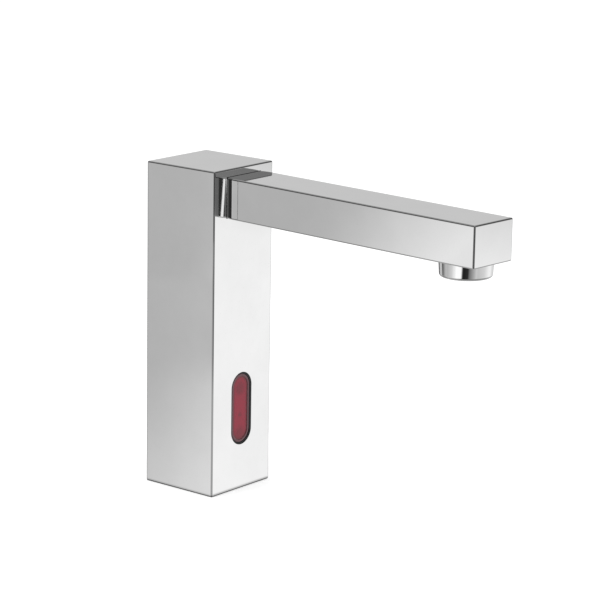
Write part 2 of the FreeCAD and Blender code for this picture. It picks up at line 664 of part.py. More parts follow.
def basePlate():
    # closes the column below: inlet thread, stud thread, grommet hole, seal groove
    plate = Piece("base_plate")
    side = inner - s.baseGap
    plate.block(-side, side, -side, side, 0, s.baseThickness)
    plate.rod(s.portBossRadius, s.baseThickness, bossTop, s.portX, s.portY)
    plate.rod(s.studBossRadius, s.baseThickness, s.baseThickness + s.studBossHeight,
              s.studX, s.studY)
    plate.rod(s.portRadius, 0, s.portDepth, s.portX, s.portY, cut=True)
    plate.rod(s.strainerRadius, s.portDepth, bossTop, s.portX, s.portY, cut=True)
    plate.rod(s.inletPipeRadius + s.socketGap, socketFloor, bossTop, s.portX, s.portY, cut=True)
    plate.rod(s.inletPipeRadius + s.pipeRingSection, *ringBand(bossTop - s.socketDepth / 2),
              s.portX, s.portY, cut=True)
    plate.rod(s.studRadius, 0, s.baseThickness + s.studBossHeight, s.studX, s.studY, cut=True)
    plate.rod(s.grommetRadius, 0, s.baseThickness, s.grommetX, s.grommetY, cut=True)
    for signX in (-1, 1):
        for signY in (-1, 1):
            plate.rod(s.screwRadius + s.screwHoleGap, 0, s.baseThickness, screwSpot * signX,
                      screwSpot * signY, cut=True)
            plate.rod(s.screwHeadRadius + s.screwHoleGap, 0, s.screwHeadHeight + s.screwSink,
                      screwSpot * signX, screwSpot * signY, cut=True)
    for sign in (-1, 1):
        plate.rod(s.screwRadius + s.screwSlack, s.baseThickness - s.bracketScrewGrip - over,
                  s.baseThickness,
                  bracketFootX(), s.bracketScrewSpread * sign, cut=True)
    plate.spin([(sealRadius - s.sealSection / 2, 0), (sealRadius + s.sealSection / 2, 0),
                (sealRadius + s.sealSection / 2, s.sealSection),
                (sealRadius - s.sealSection / 2, s.sealSection)], cut=True)


def bracketFootX():
    return -inner + s.bracketGap + s.bracketFoot - s.bracketScrewInset


def baseFittings():
    seat = s.screwHeadHeight + s.screwSink
    screws = []
    for signX in (-1, 1):
        for signY in (-1, 1):
            screws.append(screw("base_screw", screwSpot * signX, screwSpot * signY, seat,
                                baseScrewEnd - seat, down=False))
    group("base_screws", screws)
    keep(ring("deck_seal", sealRadius, s.sealSection, z=s.sealSection / 2), "deck_seal")
    grommet = Piece("cable_grommet", s.grommetX, s.grommetY)
    outer = s.grommetRadius
    rim = outer + s.grommetFlange
    top = s.baseThickness + s.grommetFlangeHeight
    grommet.spin([(s.cableRadius, 0), (outer, 0), (outer, s.baseThickness),
                  (rim, s.baseThickness), (rim, top), (s.cableRadius, top)])


# ---- water path ----

def inletStrainer():
    # cup of fine mesh hanging in the hole over the inlet thread, held by the inlet pipe
    cup = Piece("inlet_strainer", s.portX, s.portY, socketFloor)
    outer = s.strainerRadius - s.socketGap
    rim = outer + s.strainerRim
    inside = outer - s.strainerWall
    bottom = s.strainerRim - s.strainerHeight
    cup.spin([(0, bottom), (outer, bottom), (outer, 0), (rim, 0), (rim, s.strainerRim),
              (inside, s.strainerRim), (inside, bottom + s.strainerWall),
              (0, bottom + s.strainerWall)])


def pipe(label, x, y, radius, bottom, top):
    outer = solid("Cylinder", label + "_outside", x, y, bottom, Radius=radius,
                  Height=asSize(top) - bottom)
    hole = solid("Cylinder", label + "_bore", x, y, bottom, Radius=radius - s.pipeWall,
                 Height=asSize(top) - bottom)
    keep(cut(label, outer, [hole]), label)


def pipes():
    pipe("inlet_pipe", s.portX, s.portY, s.inletPipeRadius, socketFloor + s.strainerRim,
         valveFloor + s.socketDepth)
    pipe("outlet_pipe", riserX, 0, s.outletPipeRadius, valveTop - s.socketDepth,
         elbowFloor + s.socketDepth)


def pipeRings():
    # each ring lies in a groove cut in the socket's wall
    rings = []
    for x, y, radius, height in pipeRingSpots():
        rings.append(ring("pipe_ring", radius + s.pipeRingSection / 2, s.pipeRingSection, x, y,
                          height))
    rings.append(ring("spigot_ring", s.spigotRadius + s.pipeRingSection / 2, s.pipeRingSection,
                      spigotRingX(), 0, shankMiddle, lay="x"))
    group("pipe_o_rings", rings)


def pipeRingSpots():
    lift = s.socketDepth / 2
    return [(s.portX, s.portY, s.inletPipeRadius, bossTop - lift),
            (s.portX, s.portY, s.inletPipeRadius, valveFloor + lift),
            (riserX, asSize(0), s.outletPipeRadius, valveTop - lift),
            (riserX, asSize(0), s.outletPipeRadius, elbowFloor + lift)]


def spigotRingX():
    return tongueEnd - s.shankLength - s.spigotLength * s.spigotRingShare


def ringBand(middle):
    # lowest and highest level of the groove for a pipe O-ring
    return middle - s.pipeRingSection / 2, middle + s.pipeRingSection / 2


def outletElbow():
    # joins the outlet pipe below to the banjo's spigot in front
    elbow = Piece("outlet_elbow", riserX)
    top = elbowFloor + s.elbowHeight
    elbow.block(-s.elbowBack, elbowFront, -s.elbowHalfWidth, s.elbowHalfWidth, elbowFloor, top)
    elbow.soften(s.elbowRound, lambda edge: straight(edge, 2))
    elbow.rod(s.outletPipeRadius + s.socketGap, elbowFloor, elbowFloor + s.socketDepth, cut=True)
    elbow.rod(s.outletPipeRadius + s.pipeRingSection, *ringBand(elbowFloor + s.socketDepth / 2),
              cut=True)
    elbow.rod(s.portPassage, elbowFloor, shankMiddle, cut=True)
    spigotEnd = tongueEnd - s.shankLength - s.spigotLength - riserX - s.spigotRoom
    elbow.rodX(s.portPassage, 0, spigotEnd + over, 0, shankMiddle, cut=True)
    elbow.rodX(s.spigotRadius + s.socketGap, spigotEnd, elbowFront, 0, shankMiddle, cut=True)
    elbow.rodX(s.spigotRadius + s.pipeRingSection, *ringBand(spigotRingX() - riserX), 0,
               shankMiddle, cut=True)


# ---- solenoid valve ----

def valveBody():
    # ring chamber round a seat; water leaves through the seat, back and up
    body = Piece("valve_body", s.valveX)
    wide = s.valveHalfWidth
    body.block(-s.valveBack, s.valveFront, -wide, wide, valveFloor, valveTop)
    body.soften(s.valveRound, lambda edge: straight(edge, 2))
    chamberFloor = valveTop - s.chamberDepth
    body.spin([(s.seatRadius, chamberFloor), (s.chamberRadius, chamberFloor),
               (s.chamberRadius, valveTop), (s.seatRadius, valveTop)], cut=True)
    body.rod(s.rebateRadius, valveTop - s.rimThickness, valveTop, cut=True)
    body.rod(s.seatRadius, diskBottom, valveTop, cut=True)
    passage = valveFloor + s.valveHeight * s.passageShare
    body.rod(s.seatBore, passage, valveTop, cut=True)
    body.rodX(s.portPassage, -s.riserBack, 0, 0, passage, cut=True)
    body.rod(s.portPassage, passage, valveTop, -s.riserBack, 0, cut=True)
    body.rod(s.outletPipeRadius + s.socketGap, valveTop - s.socketDepth, valveTop,
             -s.riserBack, 0, cut=True)
    body.rod(s.outletPipeRadius + s.pipeRingSection, *ringBand(valveTop - s.socketDepth / 2),
             -s.riserBack, 0, cut=True)
    x = s.portX - s.valveX
    body.rod(s.portPassage, valveFloor, chamberFloor + over, x, s.portY, cut=True)
    body.rod(s.inletPipeRadius + s.socketGap, valveFloor, valveFloor + s.socketDepth, x,
             s.portY, cut=True)
    body.rod(s.inletPipeRadius + s.pipeRingSection,
             *ringBand(valveFloor + s.socketDepth / 2), x, s.portY, cut=True)
    hole = s.screwRadius + s.screwSlack
    for x, y in bonnetScrewSpots():
        body.rod(hole, valveTop - s.bonnetScrewLength + s.bonnetHeight - over, valveTop, x, y,
                 cut=True)
    for sign in (-1, 1):
        body.rod(hole, valveFloor, valveFloor + s.bracketScrewGrip + over,
                 bracketShelfX() - s.valveX,
                 s.bracketScrewSpread * sign, cut=True)


def bonnetScrewSpots():
    return [(s.bonnetScrewReach * signX, s.bonnetScrewReach * signY)
            for signX in (-1, 1) for signY in (-1, 1)]


def bracketShelfX():
    return riserX + 1


def diaphragm():
    web = valveTop - s.rimThickness / 2 - s.webThickness / 2
    rim = s.rebateRadius - s.fitGap
    disk = Piece("diaphragm", s.valveX)
    disk.spin([(s.pilotHole, diskBottom), (s.diskRadius, diskBottom), (s.diskRadius, web),
               (s.chamberRadius, web), (s.chamberRadius, valveTop - s.rimThickness),
               (rim, valveTop - s.rimThickness), (rim, valveTop),
               (s.chamberRadius, valveTop), (s.chamberRadius, web + s.webThickness),
               (s.diskRadius, web + s.webThickness), (s.diskRadius, plungerFloor),
               (s.pilotHole, plungerFloor)])


def valveBonnet():
    # clamps the diaphragm and carries the plunger's guide tube
    bonnet = Piece("valve_bonnet", s.valveX)
    wide = s.bonnetHalf
    bonnet.block(-wide, wide, -wide, wide, valveTop, bonnetTop)
    bonnet.soften(s.valveRound, lambda edge: straight(edge, 2))
    bonnet.rod(tubeRadius, bonnetTop, tubeTop)
    bonnet.rod(s.pilotRadius, valveTop, valveTop + s.pilotDepth, cut=True)
    bonnet.rod(s.plungerRadius + s.plungerGap, valveTop + s.pilotDepth, tubeTop, cut=True)
    for x, y in bonnetScrewSpots():
        bonnet.rod(s.screwRadius + s.screwHoleGap, valveTop, bonnetTop, x, y, cut=True)
    group("bonnet_screws", [screw("bonnet_screw", s.valveX + x, y, bonnetTop, s.bonnetScrewLength)
                            for x, y in bonnetScrewSpots()])


def plungerParts():
    plunger = Piece("plunger", s.valveX, 0, plungerFloor)
    tip = s.padHeight / 3
    plunger.spin([(0, tip), (s.plungerRadius - s.plungerBevel, tip),
                  (s.plungerRadius, tip + s.plungerBevel),
                  (s.plungerRadius, s.plungerHeight), (0, s.plungerHeight)])
    plunger.rod(s.padRadius, 0, s.padHeight, cut=True)
    plunger.rod(s.springBore, s.plungerHeight - s.springDepth, s.plungerHeight, cut=True)
    for sign in (-1, 1):
        # flats that let water past the plunger
        plunger.block(s.plungerRadius * s.plungerFlat * sign, s.plungerRadius * 1.5 * sign,
                      -s.plungerRadius, s.plungerRadius, 0, s.plungerHeight, cut=True)
    keep(solid("Cylinder", "seat_pad", s.valveX, 0, plungerFloor, Radius=s.padRadius,
               Height=s.padHeight), "seat_pad")
    core = Piece("fixed_core", s.valveX, 0, coreFloor)
    core.rod(s.plungerRadius + s.plungerGap, 0, s.coreHeight)
    core.rod(s.springBore, 0, s.coreRecess, cut=True)


def helixArcs(radius, low, high, turns):
    # a helix as smooth pairs of arcs, four pairs to a turn
    steps = turns * 4
    pitch = (high - low) / turns
    arcs = []

    def spot(step):
        angle = step * math.pi / 2
        return Vector(radius * math.cos(angle), radius * math.sin(angle), low + pitch * step / 4)

    def heading(step):
        angle = step * math.pi / 2
        way = Vector(-math.sin(angle), math.cos(angle), pitch / (math.tau * radius))
        return way.normalize()

    for step in range(steps):
        start, end = spot(step), spot(step + 1)
        first, last = heading(step), heading(step + 1)
        gap, both = end - start, first + last
        bend = 2 * (1 - first.dot(last))
        along = gap.dot(both)
        reach = (math.sqrt(along * along + bend * gap.dot(gap)) - along) / bend
        joint = (start + first * reach + end - last * reach) * 0.5
        for begin, corner, finish in ((start, start + first * reach, joint),
                                      (joint, end - last * reach, end)):
            middle = (begin + finish) * 0.5
            rise = corner - middle
            half = (finish - begin).Length / 2
            sag = half * math.tan(math.atan2(rise.Length, half) / 2)
            arcs.append(Part.Arc(begin, middle + rise.normalize() * sag, finish).toShape())
    return arcs


def sweep(arcs, radius, first, way):
    # a round tube along joined lines and arcs
    circle = Part.Wire(Part.makeCircle(radius, first, way))
    return Part.Wire(arcs).makePipeShell([circle], True, False)


def plungerSpring():
    # wound from the bottom of the plunger's bore to the core's seat
    radius = sheet.get("springRadius")
    wire = sheet.get("springWire") / 2
    low = s.plungerHeight.number - s.springDepth.number + wire
    high = s.plungerHeight.number + s.plungerStroke.number + s.coreRecess.number - wire
    turns = 6
    arcs = helixArcs(radius, low, high, turns)
    way = Vector(0, 1, (high - low) / turns / (math.tau * radius))
    spring = doc.addObject("Part::Feature", "plunger_spring")
    spring.Shape = sweep(arcs, wire, Vector(radius, 0, low), way)
    place(spring, s.valveX, 0, plungerFloor)
    keep(spring, "plunger_spring")
    print("plunger spring: gap between turns %.2f mm" % ((high - low) / turns - 2 * wire))


def coilParts():
    coil = Piece("solenoid_coil", s.valveX)
    outer = s.coilRadius + s.coilWaist
    bore = tubeRadius + s.plungerGap
    coil.spin([(bore, coilFloor), (outer, coilFloor), (outer, coilFloor + s.coilFlange),
               (s.coilRadius, coilFloor + s.coilFlange), (s.coilRadius, coilTop - s.coilFlange),
               (outer, coilTop - s.coilFlange), (outer, coilTop), (bore, coilTop)])
    middle = (coilFloor + coilTop) / 2
    coil.block(s.coilRadius - s.plugRoot, outer + s.plugReach, -s.plugWidth / 2, s.plugWidth / 2,
               middle - s.plugHeight / 2, middle + s.plugHeight / 2)
    yoke = Piece("coil_yoke", s.valveX)
    side = outer + s.yokeGap
    wide = s.yokeHalfWidth
    yoke.block(-wide, wide, -side - s.yokeThickness, side + s.yokeThickness, bonnetTop,
               coilTop + s.yokeThickness)
    yoke.block(-wide, wide, -side, side, coilFloor, coilTop, cut=True)
    yoke.rod(bore, bonnetTop, coilTop + s.yokeThickness, cut=True)
    keep(hexNut("coil_nut", s.coilNutWidth, tubeRadius, s.coilNutHeight, s.valveX, 0,
                coilTop + s.yokeThickness), "coil_nut")


def valveBracket():
    # bent strip: foot on the base plate, leg up the rear wall, shelf under the valve
    bracket = Piece("valve_bracket")
    rear = -inner + s.bracketGap
    sheetWall = s.bracketThickness
    foot = s.baseThickness
    shelf = valveFloor
    outline = bracket.outline("XZ", -s.bracketHalfWidth, [
        (rear, foot), (rear + s.bracketFoot, foot), (rear + s.bracketFoot, foot + sheetWall),
        (rear + sheetWall, foot + sheetWall), (rear + sheetWall, shelf - sheetWall),
        (rear + s.bracketShelf, shelf - sheetWall), (rear + s.bracketShelf, shelf),
        (rear, shelf)])
    bracket.grow(outline, s.bracketHalfWidth * 2)
    hole = s.screwRadius + s.screwHoleGap
    for sign in (-1, 1):
        y = s.bracketScrewSpread * sign
        bracket.rod(hole, foot, foot + sheetWall, bracketFootX(), y, cut=True)
        bracket.rod(hole, shelf - sheetWall, shelf, bracketShelfX(), y, cut=True)
    bracket.rod(s.inletPipeRadius + s.screwHoleGap * 2, shelf - sheetWall, shelf, s.portX, s.portY, cut=True)
    screws = []
    for sign in (-1, 1):
        y = s.bracketScrewSpread * sign
        screws.append(screw("foot_screw", bracketFootX(), y, foot + sheetWall,
                            sheetWall + s.bracketScrewGrip))
        screws.append(screw("shelf_screw", bracketShelfX(), y, shelf - sheetWall,
                            sheetWall + s.bracketScrewGrip, down=False))
    group("bracket_screws", screws)


# ---- sensor ----

def sensorWindow():
    reach = (s.windowLength - s.windowWidth) / 2
    outer = s.windowWidth / 2 - s.fitGap
    opening = outer - s.bezelWall
    bezel = Piece("sensor_bezel")
    flange = bezel.stadium("YZ", flangeBack, 0, s.windowHeight,
                           s.windowWidth / 2 + s.bezelFlange, reach)
    bezel.grow(flange, s.bezelFlangeThickness)
    bezel.grow(bezel.stadium("YZ", inner, 0, s.windowHeight, outer, reach),
               s.columnWall - s.bezelSink)
    bezel.grow(bezel.stadium("YZ", flangeBack, 0, s.windowHeight, opening, reach),
               half - flangeBack, cut=True)
    front = opening - s.fitGap
    lens = Piece("sensor_lens")
    lens.grow(lens.stadium("YZ", housingFront, 0, s.windowHeight, front + s.lensFlange, reach),
              s.lensFlangeThickness)
    lens.grow(lens.stadium("YZ", flangeBack, 0, s.windowHeight, front, reach),
              lensFace - flangeBack)


def sensorHousing():
    # moulded box open towards the lens, with a screw ear above and below
    housing = Piece("sensor_housing")
    wide, tall, middle = s.housingHalfWidth, s.housingHalfHeight, s.windowHeight
    housing.block(housingBack, housingFront, -wide, wide, middle - tall, middle + tall)
    housing.soften(s.housingCorner, lambda edge: straight(edge, 0))
    earBack = housingFront - s.earThickness
    for sign in (-1, 1):
        housing.block(earBack, housingFront, -s.earRadius, s.earRadius,
                      middle + (tall - s.housingWall) * sign, middle + earRise * sign)
        housing.rodX(s.earRadius, earBack, housingFront, 0, middle + earRise * sign)
    room = wide - s.housingWall
    height = tall - s.housingWall
    housing.block(housingBack + s.housingWall, housingFront, -room, room, middle - height,
                  middle + height, cut=True)
    for signY in (-1, 1):
        for signZ in (-1, 1):
            housing.rodX(s.postRadius, housingBack + s.housingWall, boardBack,
                         (room - s.postInset) * signY, middle + (height - s.postInset) * signZ)
    for sign in (-1, 1):
        housing.rodX(s.screwRadius + s.screwHoleGap, earBack, housingFront, 0,
                     middle + earRise * sign, cut=True)
    group("sensor_screws", [screw("sensor_screw", earBack, 0, middle + earRise * sign,
                                  s.earThickness + inner - housingFront, lay="x", down=False)
                            for sign in (-1, 1)])


def domed(label, radius, height, rise):
    # a round lamp standing on the board, with a hemispherical end
    z = s.windowHeight + rise
    body = solid("Cylinder", label + "_body", boardFront, 0, z, "x", Radius=radius, Height=height)
    dome = solid("Sphere", label + "_dome", boardFront + height, 0, z, Radius=radius)
    keep(fused(label, [body, dome]), label)


def sensorBoard():
    room = s.housingHalfWidth - s.housingWall - s.boardGap
    height = s.housingHalfHeight - s.housingWall - s.boardGap
    middle = s.windowHeight
    board = Piece("sensor_board")
    board.block(boardBack, boardFront, -room, room, middle - height, middle + height)
    domed("ir_emitter", s.ledRadius, s.ledHeight, s.emitterRise)
    domed("ir_receiver", s.ledRadius, s.ledHeight, s.receiverRise)
    domed("indicator_lamp", s.ledRadius * s.indicatorShare, s.ledHeight, s.indicatorRise)
    baffle = Piece("light_baffle")
    wide = s.housingHalfWidth - s.housingWall - s.fitGap
    low = middle + s.baffleRise - s.baffleThickness / 2
    baffle.block(boardFront, housingFront, -wide, wide, low, low + s.baffleThickness)
    chip = Piece("control_chip")
    low = middle + s.indicatorRise - s.chipSide / 2
    chip.block(boardFront, boardFront + s.chipHeight, s.chipY - s.chipSide / 2,
               s.chipY + s.chipSide / 2, low, low + s.chipSide)
    connector = Piece("board_connector")
    top = middle + height - s.connectorInset
    connector.block(boardFront, boardFront + s.connectorDepth,
                    s.connectorY - s.connectorWidth / 2, s.connectorY + s.connectorWidth / 2,
                    top - s.connectorHeight, top)


# ---- swivel ----

def swivelBanjo():
    # eye round the pin, keyed tongue, threaded shank and plain spigot into the column
    banjo = Piece("swivel_banjo", axisX, 0, spoutFloor)
    tongue = axisX - tongueEnd
    wide = s.tongueWidth / 2
    banjo.block(-tongue, 0, -wide, wide, eyeBottom, eyeTop)
    banjo.rod(s.eyeRadius, eyeBottom, eyeTop)
    banjo.rodX(s.shankRadius, -tongue - s.shankLength, -tongue, 0, eyeMiddle)
    end = -tongue - s.shankLength - s.spigotLength
    banjo.rodX(s.spigotRadius, end, -tongue - s.shankLength, 0, eyeMiddle)
    banjo.rod(s.pinRadius + s.runningGap, eyeBottom, eyeTop, cut=True)
    banjo.rod(s.galleryRadius, eyeMiddle - s.galleryHeight / 2, eyeMiddle + s.galleryHeight / 2,
              cut=True)
    banjo.rodX(s.passageRadius, end, -s.pinRadius, 0, eyeMiddle, cut=True)


def shankFittings():
    washer = solid("Cylinder", "shank_washer_disk", padFace - s.shankWasherThickness, 0,
                   shankMiddle, "x", Radius=s.shankNutWidth / 2, Height=s.shankWasherThickness)
    hole = solid("Cylinder", "shank_washer_hole", padFace - s.shankWasherThickness, 0,
                 shankMiddle, "x", Radius=s.shankRadius + s.screwSlack,
                 Height=s.shankWasherThickness)
    keep(cut("shank_washer", washer, [hole]), "shank_washer")
    start = padFace - s.shankWasherThickness - s.shankNutHeight
    keep(hexNut("shank_nut", s.shankNutWidth, s.shankRadius, s.shankNutHeight, start, 0,
                shankMiddle, lay="x"), "shank_nut")
    washers = []
    for low in (eyeBottom - s.washerThickness, eyeTop):
        disk = solid("Cylinder", "slip_disk", axisX, 0, spoutFloor + low,
                     Radius=s.eyeRadius - s.cavityGap, Height=s.washerThickness)
        hole = solid("Cylinder", "slip_hole", axisX, 0, spoutFloor + low,
                     Radius=s.pinRadius + s.cavityGap, Height=s.washerThickness)
        washers.append(cut("slip_washer", disk, [hole]))
    group("slip_washers", washers)


def pinRingSpots():
    step = s.galleryHeight / 2 + s.ringSection * s.ringStep
    return [eyeMiddle - step, eyeMiddle + step, cavityTop + s.pinLand / 2]


def swivelPin():
    # hollow pin screwed in from below; water comes in at the eye and leaves higher up
    pin = Piece("swivel_pin", axisX, 0, spoutFloor, s.spoutTurn)
    foot = s.pinSink
    pin.spin([(0, foot), (s.pinHeadRadius, foot), (s.pinHeadRadius, s.floorThickness),
              (s.pinRadius, s.floorThickness), (s.pinRadius, pinTop), (0, pinTop)])
    drawn = s.ringSection - s.ringSqueeze
    for middle in pinRingSpots():
        low = middle - s.ringSection * 0.55
        high = middle + s.ringSection * 0.55
        pin.spin([(s.pinRadius - drawn, low), (s.pinRadius + over, low), (s.pinRadius + over, high),
                  (s.pinRadius - drawn, high)], cut=True)
    pin.rod(s.pinBore, eyeMiddle - s.crossRadius * 1.5, pinTop, cut=True)
    for level in (eyeMiddle, galleryMiddle):
        pin.rodX(s.crossRadius, -s.pinRadius - over, s.pinRadius + over, 0, level, cut=True)
    corners = [(s.pinSocket * (2 / math.sqrt(3) * math.cos(turn * math.pi / 3)),
                s.pinSocket * (2 / math.sqrt(3) * math.sin(turn * math.pi / 3)))
               for turn in range(6)]
    pin.slab(corners, foot, s.floorThickness - s.pinRoof, cut=True)
    rings = [ring("pin_ring", s.pinRadius - drawn / 2, drawn, axisX, 0, spoutFloor + middle)
             for middle in pinRingSpots()]
    group("pin_o_rings", rings)


# ---- spout ----

def spoutArm():
    # cast arm: rounded rear end with the swivel's cavity, waterway, port for the aerator
    arm = Piece("spout_arm", axisX, 0, spoutFloor, s.spoutTurn)
    sketch = arm.sketch("XY", 0)
    radius, reach = hubRadius, s.spoutReach
    circle = Part.Circle(Vector(), Vector(0, 0, 1), radius.number)
    sketch.addGeometry(Part.ArcOfCircle(circle, math.pi / 2, math.pi * 1.5), False)
    corners = [Vector(0, -radius.number, 0), Vector(reach.number, -radius.number, 0),
               Vector(reach.number, radius.number, 0), Vector(0, radius.number, 0)]
    for start, end in zip(corners, corners[1:]):
        sketch.addGeometry(Part.LineSegment(start, end), False)
    for one, two in ((1, 2), (2, 3)):
        sketch.addConstraint(Sketcher.Constraint("Coincident", one, 2, two, 1))
    sketch.addConstraint(Sketcher.Constraint("Tangent", 0, 2, 1, 1))
    sketch.addConstraint(Sketcher.Constraint("Tangent", 3, 2, 0, 1))
    arm.pin(sketch, 0, 3, 0, 0)
    arm.pin(sketch, 1, 2, reach, -radius)
    arm.pin(sketch, 2, 2, reach, radius)
    arm.grow(sketch, s.spoutHeight)
    arm.soften(s.edgeRound, lambda edge: atHeight(edge, 0) or atHeight(edge, s.spoutHeight)
               or (straight(edge, 2) and near(edge.BoundBox.XMax, reach)))
    # waterway along the arm, with a ring of metal left round the aerator's port
    wide = radius - s.spoutWall
    arm.block(s.waterwayStart, reach - s.spoutWall, -wide, wide, s.spoutWall,
              s.spoutHeight - s.spoutWall, cut=True)
    portTop = s.aeratorNeck + s.aeratorWasher
    arm.rod(radius - s.edgeRound / 2, s.edgeRound, portTop + s.shoulderThickness, aeratorX, 0)
    arm.rod(s.portShoulder, 0, portTop + s.shoulderThickness, aeratorX, 0, cut=True)
    arm.rod(s.aeratorThread + s.threadGap, 0, portTop, aeratorX, 0, cut=True)
    # the swivel's cavity, its slot for the tongue, and the pin's seats
    arm.rod(s.eyeRadius + s.cavityGap, s.floorThickness, cavityTop, cut=True)
    gap = s.tongueWidth / 2 + s.cavityGap
    beyond = radius * 1.3
    inX, inY = gap * s.swing.sine(), gap * s.swing.cosine()
    outX, outY = inX - beyond * s.swing.cosine(), inY + beyond * s.swing.sine()
    arm.slab([(inX, inY), (outX, outY), (outX, -outY), (inX, -inY)], s.floorThickness, cavityTop,
             cut=True)
    arm.rod(s.pinHeadRadius + s.screwSlack, 0, s.floorThickness, cut=True)
    arm.rod(s.pinRadius + s.screwSlack, cavityTop, pinTop + s.pinHeadroom, cut=True)
    arm.rod(s.galleryRadius, galleryFloor, galleryFloor + s.galleryHeight, cut=True)
    arm.rodX(s.upperPassage, s.pinRadius, s.waterwayStart + over, 0, galleryMiddle, cut=True)


# ---- aerator ----

def aeratorPiece(label):
    # everything in the aerator is drawn about its own axis, from the spout's underside
    return Piece(label, axisX + aeratorX * s.spoutTurn.cosine(), aeratorX * s.spoutTurn.sine(),
                 spoutFloor, s.spoutTurn)


def aeratorParts():
    housing = aeratorPiece("aerator_housing")
    bottom = -s.aeratorDrop
    seat = bottom + s.lipHeight
    rimRoom = s.cartridgeRadius + s.cartridgeRim + s.fitGap
    body = s.cartridgeRadius + s.fitGap
    rimFloor = s.aeratorNeck - s.rimHeight
    housing.spin([(s.lipRadius, bottom), (s.aeratorRadius - s.aeratorTaper, bottom),
                  (s.aeratorRadius, 0), (s.aeratorThread, 0), (s.aeratorThread, s.aeratorNeck),
                  (rimRoom, s.aeratorNeck), (rimRoom, rimFloor), (body, rimFloor), (body, seat),
                  (s.lipRadius, seat)])
    housing.soften(s.aeratorRound, lambda edge: atHeight(edge, bottom)
                   and edge.BoundBox.XLength > s.lipRadius.number * 2 + 1)
    washer = aeratorPiece("aerator_washer")
    top = s.aeratorNeck + s.aeratorWasher
    washer.rod(s.aeratorThread - s.washerInset, s.aeratorNeck, top)
    washer.rod(s.portShoulder - s.washerLip, s.aeratorNeck, top, cut=True)
    cartridge = aeratorPiece("aerator_cartridge")
    inside = s.cartridgeRadius - s.cartridgeWall
    rim = s.cartridgeRadius + s.cartridgeRim
    cartridge.spin([(inside, seat), (s.cartridgeRadius, seat), (s.cartridgeRadius, rimFloor),
                    (rim, rimFloor), (rim, s.aeratorNeck), (inside, s.aeratorNeck)])
    # windows that draw air in round the cartridge
    wide = s.airWindowWidth / 2
    cartridge.block(inside - over, s.cartridgeRadius + over, -wide, wide, s.airWindowFloor,
                    s.airWindowFloor + s.airWindowHeight, cut=True)
    aroundAxis(cartridge, 8)
    return seat, inside - s.fitGap


def aroundAxis(piece, count):
    pattern = piece.body.newObject("PartDesign::PolarPattern", "PolarPattern")
    pattern.Originals = [piece.body.Tip]
    pattern.Axis = (piece.planes["Z_Axis"], [""])
    pattern.Angle = 360
    pattern.Occurrences = count
    piece.body.Tip = pattern


def aeratorInserts(seat, radius):
    outletGrid(seat, radius)
    stack = seat + s.gridHeight
    screens = []
    for index in range(2):
        low = stack + s.screenRim * index
        disk = solid("Cylinder", "screen_disk", Radius=radius, Height=s.screenRim)
        hollow = solid("Cylinder", "screen_hollow", z=s.screenThickness,
                       Radius=radius - s.screenRimWidth, Height=s.screenRim)
        screen = cut("screen", disk, [hollow])
        place(screen, axisX + aeratorX * s.spoutTurn.cosine(), aeratorX * s.spoutTurn.sine(),
              spoutFloor + low)
        screens.append(screen)
    group("aerator_screens", screens)
    regulator = aeratorPiece("flow_regulator")
    low = stack + s.screenRim * 2
    regulator.rod(radius, low, low + s.regulatorHeight)
    regulator.rod(s.regulatorHole, low, low + s.regulatorHeight, radius * 0.6, 0, cut=True)
    aroundAxis(regulator, 6)


def outletGrid(seat, radius):
    # honeycomb of flow-straightening cells, as many as fit inside the ring
    cell = sheet.get("gridCell")
    web = sheet.get("gridWeb")
    height = sheet.get("gridHeight")
    rim = asSize(radius).number
    hexagon = (cell - web) / math.sqrt(3)
    grid = Part.makeCylinder(rim, height)
    rows = int(rim / (cell * math.sqrt(3) / 2)) + 1
    cells = []
    for row in range(-rows, rows + 1):
        for column in range(-rows, rows + 1):
            x = cell * (column + (row % 2) / 2)
            y = cell * row * math.sqrt(3) / 2
            if math.hypot(x, y) + hexagon > rim - web:
                continue
            corners = [Vector(x + hexagon * math.sin(turn * math.pi / 3),
                              y + hexagon * math.cos(turn * math.pi / 3), 0) for turn in range(7)]
            cells.append(Part.Face(Part.makePolygon(corners)).extrude(Vector(0, 0, height)))
    grid = grid.cut(cells)
    item = doc.addObject("Part::Feature", "outlet_grid")
    item.Shape = grid.Solids[0]
    place(item, axisX + aeratorX * s.spoutTurn.cosine(), aeratorX * s.spoutTurn.sine(),
          spoutFloor + seat, s.spoutTurn)
    keep(item, "outlet_grid")


# ---- build and write ----

def build():
    columnShell()
    basePlate()
    baseFittings()
    inletStrainer()
    pipes()
    pipeRings()
    outletElbow()
    valveBody()
    diaphragm()
    valveBonnet()
    plungerParts()
    plungerSpring()
    coilParts()
    valveBracket()
    sensorWindow()
    sensorHousing()
    sensorBoard()
    swivelBanjo()
    shankFittings()
    swivelPin()
    spoutArm()
    seat, bore = aeratorParts()
    aeratorInserts(seat, bore)


def check():
    doc.recompute()
    faults = [item.Label for item in doc.Objects
              if "Invalid" in item.State or "Error" in item.State]
    for item in doc.Objects:
        if item.TypeId in ("PartDesign::Pocket", "PartDesign::Groove"):
            if item.Shape.Volume >= item.BaseFeature.Shape.Volume - 1e-6:
                faults.append(item.Label + " cuts nothing")
    for item in pieces:
        if item.Shape.isNull() or not item.Shape.isValid() or not item.Shape.Solids:
            faults.append(item.Label + " has no valid shape")
    if faults:
        raise RuntimeError("faulty: " + ", ".join(faults))


build()
check()
os.makedirs("parts", exist_ok=True)
for item in pieces:
    item.Shape.exportStep("parts/%s.step" % item.Label)
print("%d sub-parts, %d solids" % (len(pieces), sum(len(item.Shape.Solids) for item in pieces)))
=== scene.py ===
import json
import math

import bmesh
import bpy
from mathutils import Matrix, Vector


